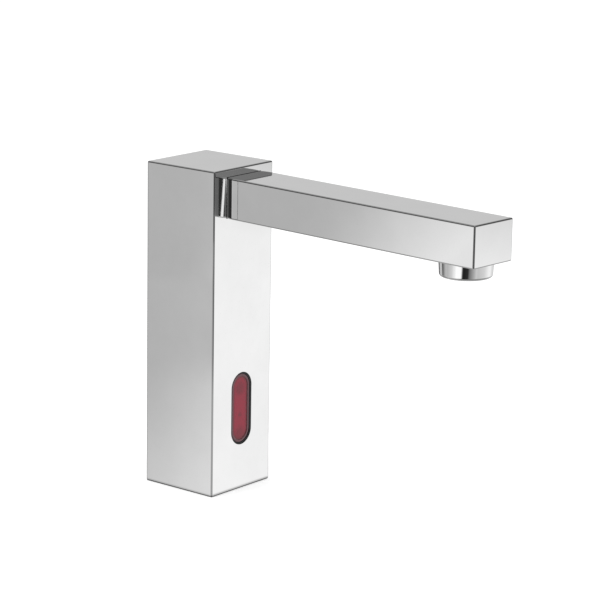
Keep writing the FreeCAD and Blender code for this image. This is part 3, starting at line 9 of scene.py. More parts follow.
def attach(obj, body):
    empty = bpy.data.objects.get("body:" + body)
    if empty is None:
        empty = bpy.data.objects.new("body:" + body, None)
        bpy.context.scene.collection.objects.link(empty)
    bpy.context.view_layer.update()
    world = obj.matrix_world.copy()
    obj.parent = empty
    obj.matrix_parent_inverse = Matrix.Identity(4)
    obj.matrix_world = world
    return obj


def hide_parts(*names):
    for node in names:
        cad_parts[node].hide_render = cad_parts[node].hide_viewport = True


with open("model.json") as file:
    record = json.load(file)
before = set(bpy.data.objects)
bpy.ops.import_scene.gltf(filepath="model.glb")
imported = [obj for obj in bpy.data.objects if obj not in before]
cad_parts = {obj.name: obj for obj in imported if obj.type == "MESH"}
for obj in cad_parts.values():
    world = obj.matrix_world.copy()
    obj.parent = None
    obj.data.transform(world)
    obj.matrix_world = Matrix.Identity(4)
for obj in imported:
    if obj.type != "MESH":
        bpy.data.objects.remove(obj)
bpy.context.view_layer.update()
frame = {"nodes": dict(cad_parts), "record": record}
nodes = frame["nodes"]
mm = 0.001
white = (1.0, 1.0, 1.0)


# ---- camera: a long lens a little above the spout, standing on its right-hand side ----

view = {"azimuth": -50.98, "elevation": 13.38, "roll": 0.97, "distance": 1.34415,
        "sideways": 0.046485, "height": 0.09567, "focal": 157.86, "sensor": 36, "clip": 50}


def addCamera():
    azimuth, elevation, roll = [math.radians(view[key]) for key in ("azimuth", "elevation", "roll")]
    forward = Vector((-math.cos(elevation) * math.cos(azimuth),
                      -math.cos(elevation) * math.sin(azimuth), -math.sin(elevation)))
    level = forward.cross(Vector((0, 0, 1))).normalized()
    upright = level.cross(forward)
    right = level * math.cos(roll) + upright * math.sin(roll)
    up = upright * math.cos(roll) - level * math.sin(roll)
    target = Vector((0, 0, view["height"])) + right * view["sideways"]
    data = bpy.data.cameras.new("camera")
    data.lens = view["focal"]
    data.sensor_width = view["sensor"]
    data.clip_end = view["clip"]
    camera = bpy.data.objects.new("camera", data)
    matrix = Matrix((right, up, -forward)).transposed().to_4x4()
    matrix.translation = target - forward * view["distance"]
    camera.matrix_world = matrix
    bpy.context.scene.collection.objects.link(camera)
    bpy.context.scene.camera = camera


# ---- shader maths ----

class Wire:
    # one socket's value; + - * / between wires and numbers add the Math nodes
    def __init__(self, graph, socket):
        self.graph = graph
        self.socket = socket

    def __add__(self, other):
        return self.graph.maths("ADD", self, other)

    def __radd__(self, other):
        return self.graph.maths("ADD", other, self)

    def __sub__(self, other):
        return self.graph.maths("SUBTRACT", self, other)

    def __rsub__(self, other):
        return self.graph.maths("SUBTRACT", other, self)

    def __mul__(self, other):
        return self.graph.maths("MULTIPLY", self, other)

    def __rmul__(self, other):
        return self.graph.maths("MULTIPLY", other, self)

    def __truediv__(self, other):
        return self.graph.maths("DIVIDE", self, other)

    def __rtruediv__(self, other):
        return self.graph.maths("DIVIDE", other, self)


class Graph:
    # the node tree of one material or of the world
    def __init__(self, owner):
        owner.use_nodes = True
        self.tree = owner.node_tree
        self.tree.nodes.clear()

    def add(self, kind, settings=None, inputs=None):
        node = self.tree.nodes.new("ShaderNode" + kind)
        for name, value in (settings or {}).items():
            if name == "stops":
                self.setStops(node.color_ramp, value)
            else:
                setattr(node, name, value)
        for key, value in (inputs or {}).items():
            self.feed(node.inputs[key], value)
        return node

    def setStops(self, ramp, stops):
        # the first two stops reuse the ramp's own two
        for number, (position, colour) in enumerate(stops):
            stop = ramp.elements[number] if number < 2 else ramp.elements.new(position)
            stop.position = position
            stop.color = (*colour, 1)

    def feed(self, socket, value):
        if isinstance(value, Wire):
            self.tree.links.new(value.socket, socket)
        elif socket.type == "RGBA":
            socket.default_value = (*value, 1)
        else:
            socket.default_value = value

    def out(self, node, name=0):
        return Wire(self, node.outputs[name])

    def maths(self, operation, first, second=0.0, third=None):
        inputs = {0: first, 1: second}
        if third is not None:
            inputs[2] = third
        return self.out(self.add("Math", {"operation": operation}, inputs))

    def place(self):
        # object coordinates, in metres
        return self.out(self.add("TexCoord"), "Object")

    def axes(self, vector):
        split = self.add("SeparateXYZ", None, {0: vector})
        return [self.out(split, name) for name in ("X", "Y", "Z")]

    def noise(self, where, scale, detail=3.0, rough=0.55):
        made = self.add("TexNoise", None, {"Vector": where, "Scale": scale, "Detail": detail,
                                           "Roughness": rough})
        return self.out(made, 0)

    def stretched(self, where, scale):
        return self.out(self.add("VectorMath", {"operation": "MULTIPLY"}, {0: where, 1: scale}))

    def span(self, value, low, high, toLow=0.0, toHigh=1.0, soft=False):
        made = self.add("MapRange", {"interpolation_type": "SMOOTHSTEP" if soft else "LINEAR"},
                        {"Value": value, "From Min": low, "From Max": high, "To Min": toLow,
                         "To Max": toHigh})
        return self.out(made)

    def blend(self, factor, first, second):
        # sockets 6 and 7 of the node are its two colours, and output 2 the mixed one
        made = self.add("Mix", {"data_type": "RGBA"}, {0: factor, 6: first, 7: second})
        return self.out(made, 2)

    def ramp(self, value, stops):
        return self.out(self.add("ValToRGB", {"stops": stops}, {"Fac": value}))

    def grey(self, level):
        return self.out(self.add("CombineColor", None, {0: level, 1: level, 2: level}))

    def bump(self, height, strength, depth):
        made = self.add("Bump", None, {"Height": height, "Strength": strength, "Distance": depth})
        return self.out(made)

    def finish(self, shader, output="OutputMaterial"):
        self.tree.links.new(shader.outputs[0], self.add(output).inputs["Surface"])

    def principled(self, inputs):
        self.finish(self.add("BsdfPrincipled", None, inputs))


# ---- finishes ----

# edge and its share: the painted shade along rounded edges
chrome = {"dark": (0.87, 0.87, 0.87), "light": (0.91, 0.91, 0.91), "low": 0.02, "high": 0.05,
          "smudge": 34.0, "streak": 420.0, "streakScale": (1.0, 1.0, 0.12), "ripple": 60.0,
          "bump": 0.5, "depth": 0.000002, "edge": (0.24, 0.24, 0.24), "edgeShadeShare": 0.85}


def polishedChrome(name):
    material = bpy.data.materials.new(name)
    graph = Graph(material)
    where = graph.place()
    smudge = graph.noise(where, chrome["smudge"], 4.0, 0.6)
    streak = graph.noise(graph.stretched(where, chrome["streakScale"]), chrome["streak"], 2.0)
    tone = graph.blend(graph.span(smudge, 0.35, 0.65), chrome["dark"], chrome["light"])
    # rounded edges are painted darker: painted shade, a dark line standing for the dark
    # surroundings they reflect
    paintedEdgeShade = graph.out(graph.add("Attribute", {"attribute_name": "paintedEdgeShade"}), "Fac")
    tone = graph.blend(paintedEdgeShade * chrome["edgeShadeShare"], tone, chrome["edge"])
    rough = graph.span(smudge * 0.7 + streak * 0.3, 0.3, 0.72, chrome["low"], chrome["high"])
    ripple = graph.noise(where, chrome["ripple"], 1.0)
    graph.principled({"Base Color": tone, "Metallic": 1.0, "Roughness": rough,
                      "Normal": graph.bump(ripple, chrome["bump"], chrome["depth"])})
    return material


metals = {
    "brass": {"dark": (0.52, 0.36, 0.13), "light": (0.78, 0.58, 0.27), "low": 0.22, "high": 0.38,
              "grain": (1.0, 1.0, 14.0)},
    "steel": {"dark": (0.50, 0.50, 0.51), "light": (0.68, 0.68, 0.68), "low": 0.26, "high": 0.42,
              "grain": (1.0, 1.0, 12.0)},
    "pipe_steel": {"dark": (0.55, 0.55, 0.56), "light": (0.72, 0.72, 0.72), "low": 0.18,
                   "high": 0.34, "grain": (14.0, 14.0, 1.0)},
}
machining = {"lines": 260.0, "tarnish": 90.0, "bump": 0.35, "depth": 0.00003}


def machinedMetal(name):
    # turned or drawn metal: fine lines one way, a little tarnish
    look = metals[name]
    material = bpy.data.materials.new(name)
    graph = Graph(material)
    where = graph.place()
    lines = graph.noise(graph.stretched(where, look["grain"]), machining["lines"], 2.0)
    tarnish = graph.noise(where, machining["tarnish"], 4.0)
    tone = graph.blend(graph.span(lines * 0.5 + tarnish * 0.5, 0.35, 0.65), look["dark"],
                       look["light"])
    rough = graph.span(tarnish, 0.3, 0.7, look["low"], look["high"])
    graph.principled({"Base Color": tone, "Metallic": 1.0, "Roughness": rough,
                      "Normal": graph.bump(lines, machining["bump"], machining["depth"])})
    return material


netting = {"dark": (0.20, 0.20, 0.21), "light": (0.62, 0.63, 0.64), "pitch": 7400.0,
           "bump": 0.6, "depth": 0.00008}


def wovenMesh(name):
    # wires crossing: a wave along X times a wave along Y and Z
    material = bpy.data.materials.new(name)
    graph = Graph(material)
    x, y, z = graph.axes(graph.place())
    warp = graph.maths("SINE", x * netting["pitch"])
    weft = graph.maths("SINE", y * netting["pitch"] + z * netting["pitch"])
    weave = graph.span(warp * weft, -1.0, 1.0)
    tone = graph.blend(weave, netting["dark"], netting["light"])
    graph.principled({"Base Color": tone, "Metallic": 1.0,
                      "Roughness": graph.span(weave, 0.0, 1.0, 0.45, 0.3),
                      "Normal": graph.bump(weave, netting["bump"], netting["depth"])})
    return material


plastics = {
    "valve_plastic": {"dark": (0.012, 0.012, 0.014), "light": (0.030, 0.030, 0.033),
                      "low": 0.42, "high": 0.58, "grain": 1500.0, "depth": 0.00002},
    "rubber": {"dark": (0.010, 0.010, 0.010), "light": (0.024, 0.024, 0.024), "low": 0.62,
               "high": 0.8, "grain": 900.0, "depth": 0.00002},
    "black_plastic": {"dark": (0.008, 0.008, 0.009), "light": (0.018, 0.018, 0.02), "low": 0.28,
                      "high": 0.42, "grain": 1800.0, "depth": 0.00001},
    "board_green": {"dark": (0.008, 0.075, 0.030), "light": (0.015, 0.125, 0.050), "low": 0.25,
                    "high": 0.4, "grain": 700.0, "depth": 0.00001},
    "dark_resin": {"dark": (0.010, 0.006, 0.014), "light": (0.020, 0.010, 0.026), "low": 0.08,
                   "high": 0.16, "grain": 300.0, "depth": 0.000004},
    "lamp_red": {"dark": (0.28, 0.012, 0.010), "light": (0.46, 0.026, 0.018), "low": 0.1,
                 "high": 0.2, "grain": 300.0, "depth": 0.000004},
    "coil_resin": {"dark": (0.010, 0.011, 0.013), "light": (0.022, 0.023, 0.027), "low": 0.38,
                   "high": 0.55, "grain": 1100.0, "depth": 0.00002},
    "aerator_plastic": {"dark": (0.44, 0.46, 0.48), "light": (0.54, 0.56, 0.58), "low": 0.32,
                        "high": 0.46, "grain": 1300.0, "depth": 0.00001},
    "slip_plastic": {"dark": (0.74, 0.74, 0.71), "light": (0.82, 0.82, 0.80), "low": 0.3,
                     "high": 0.42, "grain": 1300.0, "depth": 0.00001},
}
moulding = {"cloud": 120.0, "shine": 0.25, "bump": 0.5}


def mouldedPlastic(name):
    # slow clouds in the colour, a fine grain in the surface
    look = plastics[name]
    material = bpy.data.materials.new(name)
    graph = Graph(material)
    where = graph.place()
    cloud = graph.noise(where, moulding["cloud"])
    grain = graph.noise(where, look["grain"], 2.0)
    tone = graph.blend(graph.span(cloud, 0.35, 0.65), look["dark"], look["light"])
    rough = graph.span(cloud * 0.5 + grain * 0.5, 0.35, 0.65, look["low"], look["high"])
    graph.principled({"Base Color": tone, "Roughness": rough,
                      "Specular IOR Level": moulding["shine"],
                      "Normal": graph.bump(grain, moulding["bump"], look["depth"])})
    return material


lens = {"wall": (0.135, 0.055, 0.066), "edge": (0.13, 0.012, 0.020),
        "middle": (0.33, 0.012, 0.038), "shade": (0.14, 0.012, 0.022), "height": 42.6,
        "reach": 11.25, "radius": 5.9, "glow": 2.6, "face": 21.58, "faceBlend": 0.1,
        "cloud": 160.0, "bump": 0.2, "depth": 0.000004, "bending": 1.46}
# darker places on the lens: height from its middle, radius, depth of the shade; the lowest is
# painted shade at the bottom of its recess
lensSpots = [(10.5, 5.5, 0.55), (-3.6, 1.9, 0.5), (-13.5, 5.5, 0.5)]


def infraredWindow(name):
    # dark red acrylic: lighter in the middle and darker towards its rim, painted shade of its
    # recess; darker patches, the lowest painted shade; plum on its lip, the acrylic's colour with
    # painted reflected red light
    material = bpy.data.materials.new(name)
    graph = Graph(material)
    where = graph.place()
    x, y, z = graph.axes(where)
    up = z - lens["height"] * mm
    beyond = graph.maths("MAXIMUM", graph.maths("ABSOLUTE", up) - lens["reach"] * mm, 0)
    away = graph.maths("SQRT", y * y + beyond * beyond)
    # painted shade: the lens darkens from its middle towards its rim
    glow = graph.span(away, lens["radius"] * mm, (lens["radius"] - lens["glow"]) * mm, soft=True)
    cloud = graph.noise(where, lens["cloud"])
    tone = graph.blend(glow * graph.span(cloud, 0.3, 0.7, 0.88, 1.0), lens["edge"], lens["middle"])
    # darker patches; the lowest is painted shade at the bottom of the recess
    for height, radius, depth in lensSpots:
        off = up - height * mm
        shade = graph.span(graph.maths("SQRT", y * y + off * off), radius * mm, radius * 0.3 * mm,
                           0, depth, soft=True)
        tone = graph.blend(shade, tone, lens["shade"])
    # painted reflection: the plum on the lip is the acrylic's colour with painted red light
    # reflected in its inner wall, made lighter against the recess's shade
    lip = graph.span(x, lens["face"] * mm, (lens["face"] + lens["faceBlend"]) * mm)
    tone = graph.blend(lip, tone, lens["wall"])
    graph.principled({"Base Color": tone, "Roughness": graph.span(cloud, 0.3, 0.7, 0.06, 0.1),
                      "IOR": lens["bending"],
                      "Normal": graph.bump(cloud, lens["bump"], lens["depth"])})
    return material


finishes = {"polished_chrome": polishedChrome("polished_chrome"), "mesh": wovenMesh("mesh"),
            "lens_red": infraredWindow("lens_red")}
for key in metals:
    finishes[key] = machinedMetal(key)
for key in plastics:
    finishes[key] = mouldedPlastic(key)
print("finishes:", len(finishes))

for row in frame["record"]["subparts"]:
    mesh = nodes[row["node"]].data
    mesh.materials.clear()
    mesh.materials.append(finishes[row["material_slot"]])
print("CAD nodes dressed:", len(nodes))


# ---- shaping ----

# how far a cutter reaches past the solid, in millimetres, and the steps of the smallest roundings
past = 1
fewSteps = 3


def moved(shape, x=0.0, y=0.0, z=0.0, turn=0.0):
    # sizes in the shapes are millimetres until here; turn is about the vertical, before the move
    matrix = (Matrix.Translation((x * mm, y * mm, z * mm))
              @ Matrix.Rotation(math.radians(turn), 4, "Z") @ Matrix.Scale(mm, 4))
    bmesh.ops.transform(shape, matrix=matrix, verts=shape.verts)
    return shape


def brick(low, high):
    shape = bmesh.new()
    bmesh.ops.create_cube(shape, size=1)
    size = Vector(high) - Vector(low)
    middle = (Vector(high) + Vector(low)) / 2
    bmesh.ops.scale(shape, vec=size, verts=shape.verts)
    bmesh.ops.translate(shape, vec=middle, verts=shape.verts)
    return shape


def rod(radius, low, high, x=0.0, y=0.0, along="Z", segments=96):
    # upright at (x, y), or along X at y = x and z = y
    shape = bmesh.new()
    bmesh.ops.create_cone(shape, cap_ends=True, segments=segments, radius1=radius, radius2=radius,
                          depth=high - low)
    bmesh.ops.translate(shape, vec=(0, 0, (high + low) / 2), verts=shape.verts)
    if along == "X":
        bmesh.ops.rotate(shape, cent=(0, 0, 0), matrix=Matrix.Rotation(math.pi / 2, 3, "Y"),
                         verts=shape.verts)
        bmesh.ops.translate(shape, vec=(0, x, y), verts=shape.verts)
    else:
        bmesh.ops.translate(shape, vec=(x, y, 0), verts=shape.verts)
    return shape


def turned(profile, segments=128):
    # a closed profile of (radius, height) spun once round the vertical axis
    shape = bmesh.new()
    corners = [shape.verts.new((radius, 0, height)) for radius, height in profile]
    edges = [shape.edges.new((one, two)) for one, two in zip(corners, corners[1:] + corners[:1])
             if one.co.x > 1e-6 or two.co.x > 1e-6]
    bmesh.ops.spin(shape, geom=corners + edges, cent=(0, 0, 0), axis=(0, 0, 1), dvec=(0, 0, 0),
                   angle=math.tau, steps=segments, use_merge=True)
    bmesh.ops.remove_doubles(shape, verts=shape.verts, dist=1e-5)
    bmesh.ops.recalc_face_normals(shape, faces=shape.faces)
    return shape


def raised(shape, faces, height):
    # the flat faces drawn up into a solid
    made = bmesh.ops.extrude_face_region(shape, geom=faces)["geom"]
    bmesh.ops.translate(shape, vec=(0, 0, height),
                        verts=[item for item in made if isinstance(item, bmesh.types.BMVert)])
    bmesh.ops.recalc_face_normals(shape, faces=shape.faces)


def stretchedLoop(shape, radius, reach, segments=96):
    # a circle pulled apart into two half circles and two straight sides, standing on X
    made = bmesh.ops.create_circle(shape, cap_ends=False, segments=segments, radius=radius)["verts"]
    bmesh.ops.rotate(shape, cent=(0, 0, 0), matrix=Matrix.Rotation(math.pi / segments, 3, "Z"),
                     verts=made)
    bmesh.ops.rotate(shape, cent=(0, 0, 0), matrix=Matrix.Rotation(math.pi / 2, 3, "Y"), verts=made)
    for sign in (1, -1):
        bmesh.ops.translate(shape, vec=(0, 0, reach * sign),
                            verts=[vert for vert in made if vert.co.z * sign > 0])
    return made


def windowShape(profile, reach, closed):
    # a loop drawn out through (place on X, radius): closed it is a ring, open a lid with two faces
    shape = bmesh.new()
    first = stretchedLoop(shape, profile[0][1], reach)
    bmesh.ops.translate(shape, vec=(profile[0][0], 0, 0), verts=first)
    loops = [list({edge for vert in first for edge in vert.link_edges})]
    radius = profile[0][1]
    for x, wide in profile[1:] + (profile[:1] if closed else []):
        drawn = bmesh.ops.extrude_edge_only(shape, edges=loops[-1])["geom"]
        verts = {item for item in drawn if isinstance(item, bmesh.types.BMVert)}
        for vert in verts:
            beyond = max(abs(vert.co.z) - reach, 0) * (wide / radius - 1)
            vert.co = (x, vert.co.y * wide / radius,
                       vert.co.z + beyond * math.copysign(1, vert.co.z))
        loops.append([item for item in drawn if isinstance(item, bmesh.types.BMEdge)
                      and set(item.verts) <= verts])
        radius = wide
    if closed:
        bmesh.ops.remove_doubles(shape, verts=shape.verts, dist=1e-4)
    else:
        bmesh.ops.edgeloop_fill(shape, edges=loops[0])
        bmesh.ops.edgeloop_fill(shape, edges=loops[-1])
    bmesh.ops.recalc_face_normals(shape, faces=shape.faces)
    return shape


def rounded(shape, chosen, width, segments):
    # bevel the chosen edges; the middle of the new strips is marked for the painted edge shade
    paintedEdgeShade = shape.verts.layers.float.get("paintedEdgeShade") or shape.verts.layers.float.new("paintedEdgeShade")
    made = bmesh.ops.bevel(shape, geom=[edge for edge in shape.edges if chosen(edge)],
                           offset=width, offset_type="OFFSET", segments=segments, profile=0.5,
                           material=-1, affect="EDGES", clamp_overlap=True)
    strips = set(made["faces"])
    for vert in made["verts"]:
        if all(face in strips for face in vert.link_faces):
            vert[paintedEdgeShade] = 1.0


def isSharp(edge, degrees=40.0):
    return len(edge.link_faces) == 2 and edge.calc_face_angle(0) > math.radians(degrees)


def meshFrom(name, shape):
    mesh = bpy.data.meshes.new(name)
    shape.to_mesh(mesh)
    shape.free()
    return mesh


def carved(name, shape, cutters, joined=()):
    # shape with the joined ones added, then each cutter taken out of it
    block = bpy.data.objects.new(name, meshFrom(name, shape))
    bpy.context.scene.collection.objects.link(block)
    tools = []
    for kind, group in (("UNION", joined), ("DIFFERENCE", cutters)):
        for cutter in group:
            tool = bpy.data.objects.new("tool", meshFrom("tool", cutter))
            bpy.context.scene.collection.objects.link(tool)
            step = block.modifiers.new("step", "BOOLEAN")
            step.operation = kind
            step.solver = "EXACT"
            step.object = tool
            tools.append(tool)
    bpy.context.view_layer.update()
    result = bmesh.new()
    result.from_object(block, bpy.context.evaluated_depsgraph_get())
    for item in tools + [block]:
        bpy.data.objects.remove(item)
    bmesh.ops.remove_doubles(result, verts=result.verts, dist=1e-5)
    bmesh.ops.dissolve_degenerate(result, edges=result.edges, dist=1e-5)
    return result


def addPiece(name, shape, slot, body, replaced, sharp=32.0):
    # shape is already in metres, in its place
    for face in shape.faces:
        face.smooth = True
    mesh = meshFrom(name, shape)
    mesh.set_sharp_from_angle(angle=math.radians(sharp))
    mesh.materials.append(finishes[slot])
    piece = bpy.data.objects.new(name, mesh)
    bpy.context.scene.collection.objects.link(piece)
    weighted = piece.modifiers.new("even shading", "WEIGHTED_NORMAL")
    weighted.mode = "FACE_AREA"
    weighted.weight = 50
    weighted.keep_sharp = True
    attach(piece, body)
    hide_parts(*replaced)
    return piece


# ---- column ----

column = {"side": 45.0, "height": 168.0, "wall": 3.0, "roof": 2.6, "round": 0.8, "segments": 8,
          "axis": 28.0, "pocket": 14.23, "pocketLow": 143.22, "pocketHigh": 164.1,
          "pocketWall": 3.2, "rim": 0.12, "window": 7.75, "windowReach": 11.25, "overlap": 0.5,
          "windowHeight": 42.6, "tongue": 5.05, "tongueLow": 147.2, "tongueHigh": 155.3,
          "tongueEnd": 12.5, "shankHole": 4.95, "shankHeight": 151.25, "shankEnd": 20, "pad": 8.0,
          "padFace": 9.0, "windowCut": 2, "margin": 2, "lowest": 5}


def makeColumn():
    half, inner = column["side"] / 2, column["side"] / 2 - column["wall"]
    low, high = column["pocketLow"], column["pocketHigh"]
    shell = brick((-half, -half, 0), (half, half, column["height"]))
    rounded(shell, isSharp, column["round"], column["segments"])
    ceiling = column["height"] - column["roof"]
    hollow = brick((-inner, -inner, -past), (inner, inner, ceiling))
    shell = carved("column", shell, [hollow])
    # wall round the pocket and the flat pad behind it, kept inside the column
    backing = rod(column["pocket"] + column["pocketWall"], low - column["pocketWall"],
                  ceiling + column["overlap"], column["axis"])
    bmesh.ops.bisect_plane(backing, geom=backing.verts[:] + backing.edges[:] + backing.faces[:],
                           plane_co=(inner + column["overlap"], 0, 0), plane_no=(1, 0, 0),
                           clear_outer=True)
    bmesh.ops.holes_fill(backing, edges=backing.edges, sides=0)
    bmesh.ops.recalc_face_normals(backing, faces=backing.faces)
    pad = brick((column["padFace"], -column["pad"], column["shankHeight"] - column["pad"]),
                (inner + column["overlap"], column["pad"], column["shankHeight"] + column["pad"]))
    pocket = rod(column["pocket"], low, high, column["axis"], segments=128)
    tongue = brick((column["tongueEnd"], -column["tongue"], column["tongueLow"]),
                   (column["axis"], column["tongue"], column["tongueHigh"]))
    shank = rod(column["shankHole"], 0, column["shankEnd"], 0, column["shankHeight"], "X")
    cut = column["windowCut"]
    window = windowShape([(inner - cut, column["window"]), (half + cut, column["window"])],
                         column["windowReach"], False)
    bmesh.ops.translate(window, vec=(0, 0, column["windowHeight"]), verts=window.verts)
    shell = carved("column", shell, [pocket, tongue, shank, window], [backing, pad])

    # soften the rims that show: round the pocket's mouth and the window
    def onFace(edge):
        return isSharp(edge) and all(abs(vert.co.x - half) < 1e-3 and vert.co.z > column["lowest"]
                                     and abs(vert.co.y) < half - column["margin"]
                                     for vert in edge.verts)

    rounded(shell, onFace, column["rim"], fewSteps)
    return addPiece("column_body", moved(shell), "polished_chrome", "column", ["column_shell"])


# ---- spout ----

# 0.4 mm higher than its solid, and so is the pocket's ceiling, to meet the photograph's lines
spout = {"radius": 14.15, "height": 20.7, "reach": 154.0, "floor": 143.3, "turn": -3.5,
         "round": 0.8, "segments": 8, "wall": 2.6, "waterway": 17.0, "aerator": 138.2,
         "thread": 11.8, "threadTop": 6.0, "opening": 9.6, "ledge": 1.6, "eye": 9.8,
         "cavityLow": 3.4, "cavityHigh": 12.5, "slot": 5.3, "swing": 20.0, "head": 7.05,
         "headRim": 0.25, "pin": 4.55, "pinTop": 18.7, "gallery": 5.7, "galleryLow": 2,
         "galleryHigh": 5, "rearSteps": 128, "bossGap": 0.4, "overlap": 0.5}


def spoutBar():
    # rounded rear end, straight sides, square front end
    shape = bmesh.new()
    radius = spout["radius"]
    steps = spout["rearSteps"]
    circle = bmesh.ops.create_circle(shape, cap_ends=False, segments=steps, radius=radius)["verts"]
    bmesh.ops.rotate(shape, cent=(0, 0, 0), matrix=Matrix.Rotation(math.pi / steps, 3, "Z"),
                     verts=circle)
    bmesh.ops.delete(shape, geom=[vert for vert in circle if vert.co.x > 0], context="VERTS")
    ends = sorted((vert for vert in shape.verts if len(vert.link_edges) == 1),
                  key=lambda vert: vert.co.y)
    for vert in ends:
        vert.co = Vector((0, math.copysign(radius, vert.co.y), 0))
    grown = bmesh.ops.extrude_vert_indiv(shape, verts=ends)["verts"]
    bmesh.ops.translate(shape, vec=(spout["reach"], 0, 0), verts=grown)
    bmesh.ops.contextual_create(shape, geom=grown)
    bmesh.ops.edgeloop_fill(shape, edges=shape.edges)
    raised(shape, shape.faces[:], spout["height"])
    rounded(shape, isSharp, spout["round"], spout["segments"])
    return shape


def makeSpout():
    radius, reach, wall = spout["radius"], spout["reach"], spout["wall"]
    bar = spoutBar()
    wide = radius - wall
    waterway = brick((spout["waterway"], -wide, wall), (reach - wall, wide, spout["height"] - wall))
    bar = carved("spout", bar, [waterway])
    gap, over = spout["bossGap"], spout["overlap"]
    ledgeTop = spout["threadTop"] + spout["ledge"]
    boss = rod(radius - gap, gap, ledgeTop, spout["aerator"])
    thread = rod(spout["thread"], -past, spout["threadTop"], spout["aerator"])
    opening = rod(spout["opening"], -past, ledgeTop + over, spout["aerator"])
    eye = rod(spout["eye"], spout["cavityLow"], spout["cavityHigh"])
    swing = math.radians(spout["swing"])
    # the slot for the tongue opens by the swing to both sides, and ends beyond the rounded rear
    half, beyond = spout["slot"], radius * 1.3
    slot = bmesh.new()
    corners = [(half * math.sin(swing), half * math.cos(swing)),
               (half * math.sin(swing) - beyond * math.cos(swing),
                half * math.cos(swing) + beyond * math.sin(swing))]
    corners += [(x, -y) for x, y in reversed(corners)]
    base = slot.faces.new([slot.verts.new((x, y, spout["cavityLow"])) for x, y in corners])
    raised(slot, [base], spout["cavityHigh"] - spout["cavityLow"])
    rim = spout["headRim"]
    head = turned([(0, -past), (spout["head"] + past + rim, -past), (spout["head"], rim),
                   (spout["head"], spout["cavityLow"] + over), (0, spout["cavityLow"] + over)])
    pin = rod(spout["pin"], spout["cavityHigh"] - over, spout["pinTop"])
    gallery = rod(spout["gallery"], spout["cavityHigh"] + spout["galleryLow"],
                  spout["cavityHigh"] + spout["galleryHigh"])
    bar = carved("spout", bar, [opening, thread, eye, slot, head, pin, gallery], [boss])
    shape = moved(bar, column["axis"], 0, spout["floor"], spout["turn"])
    return addPiece("spout_body", shape, "polished_chrome", "spout", ["spout_arm"])


# ---- aerator ----

aerator = {"radius": 13.1, "low": 12.6, "drop": 7.5, "round": 1.4, "lip": 8.7, "lipHeight": 1.2,
           "neck": 11.7, "neckHeight": 5.0, "room": 10.95, "roomFloor": 3.8, "body": 10.25,
           "segments": 8, "lipRound": 0.3, "topRound": 0.2}


def makeAerator():
    low = -aerator["drop"]
    sleeve = turned([(aerator["lip"], low), (aerator["low"], low), (aerator["radius"], 0),
                     (aerator["neck"], 0), (aerator["neck"], aerator["neckHeight"]),
                     (aerator["room"], aerator["neckHeight"]),
                     (aerator["room"], aerator["roomFloor"]),
                     (aerator["body"], aerator["roomFloor"]),
                     (aerator["body"], low + aerator["lipHeight"]),
                     (aerator["lip"], low + aerator["lipHeight"])])
    rims = [(aerator["low"], low, aerator["round"], aerator["segments"]),
            (aerator["lip"], low, aerator["lipRound"], fewSteps),
            (aerator["radius"], 0, aerator["topRound"], fewSteps)]
    for radius, height, width, segments in rims:
        rounded(sleeve, lambda edge: all(abs(vert.co.z - height) < 1e-4
                                         and abs(vert.co.xy.length - radius) < 1e-3
                                         for vert in edge.verts), width, segments)
    turn = math.radians(spout["turn"])
    shape = moved(sleeve, column["axis"] + spout["aerator"] * math.cos(turn),
                  spout["aerator"] * math.sin(turn), spout["floor"], spout["turn"])
    return addPiece("aerator_sleeve", shape, "polished_chrome", "spout", ["aerator_housing"])


# ---- sensor window ----

# to meet the photograph, the opening and the lens are wider than their solids, and the lens
# stands up to 2 mm further forward
window = {"height": 42.6, "reach": 11.25, "outer": 7.7, "opening": 6.75, "front": 22.2,
          "flange": 9.95, "flangeBack": 18.0, "flangeFront": 19.5, "round": 0.25, "lens": 6.7,
          "lensFace": 21.55, "lip": 21.9, "lipWall": 1.25, "lensFlange": 10.45, "lensBack": 16.5,
          "lensStep": 18.0, "lensRound": 0.12}


def makeWindow():
    front = window["front"]
    bezel = windowShape([(window["flangeBack"], window["opening"]),
                         (window["flangeBack"], window["flange"]),
                         (window["flangeFront"], window["flange"]),
                         (window["flangeFront"], window["outer"]), (front, window["outer"]),
                         (front, window["opening"])], window["reach"], True)
    rounded(bezel, lambda edge: isSharp(edge) and all(abs(vert.co.x - front) < 1e-3
                                                      for vert in edge.verts),
            window["round"], fewSteps)
    addPiece("window_bezel", moved(bezel, z=window["height"]), "black_plastic", "column",
             ["sensor_bezel"])
    face, inside = window["lensFace"], window["lens"] - window["lipWall"]
    pane = windowShape([(window["lensBack"], window["lensFlange"]),
                        (window["lensStep"], window["lensFlange"]),
                        (window["lensStep"], window["lens"]), (window["lip"], window["lens"]),
                        (window["lip"], inside), (face, inside)], window["reach"], False)
    rounded(pane, lambda edge: isSharp(edge) and all(vert.co.x > face - 1e-3
                                                     for vert in edge.verts),
            window["lensRound"], fewSteps)
    addPiece("window_lens", moved(pane, z=window["height"]), "lens_red", "column",
             ["sensor_lens"])


# ---- floor and light ----

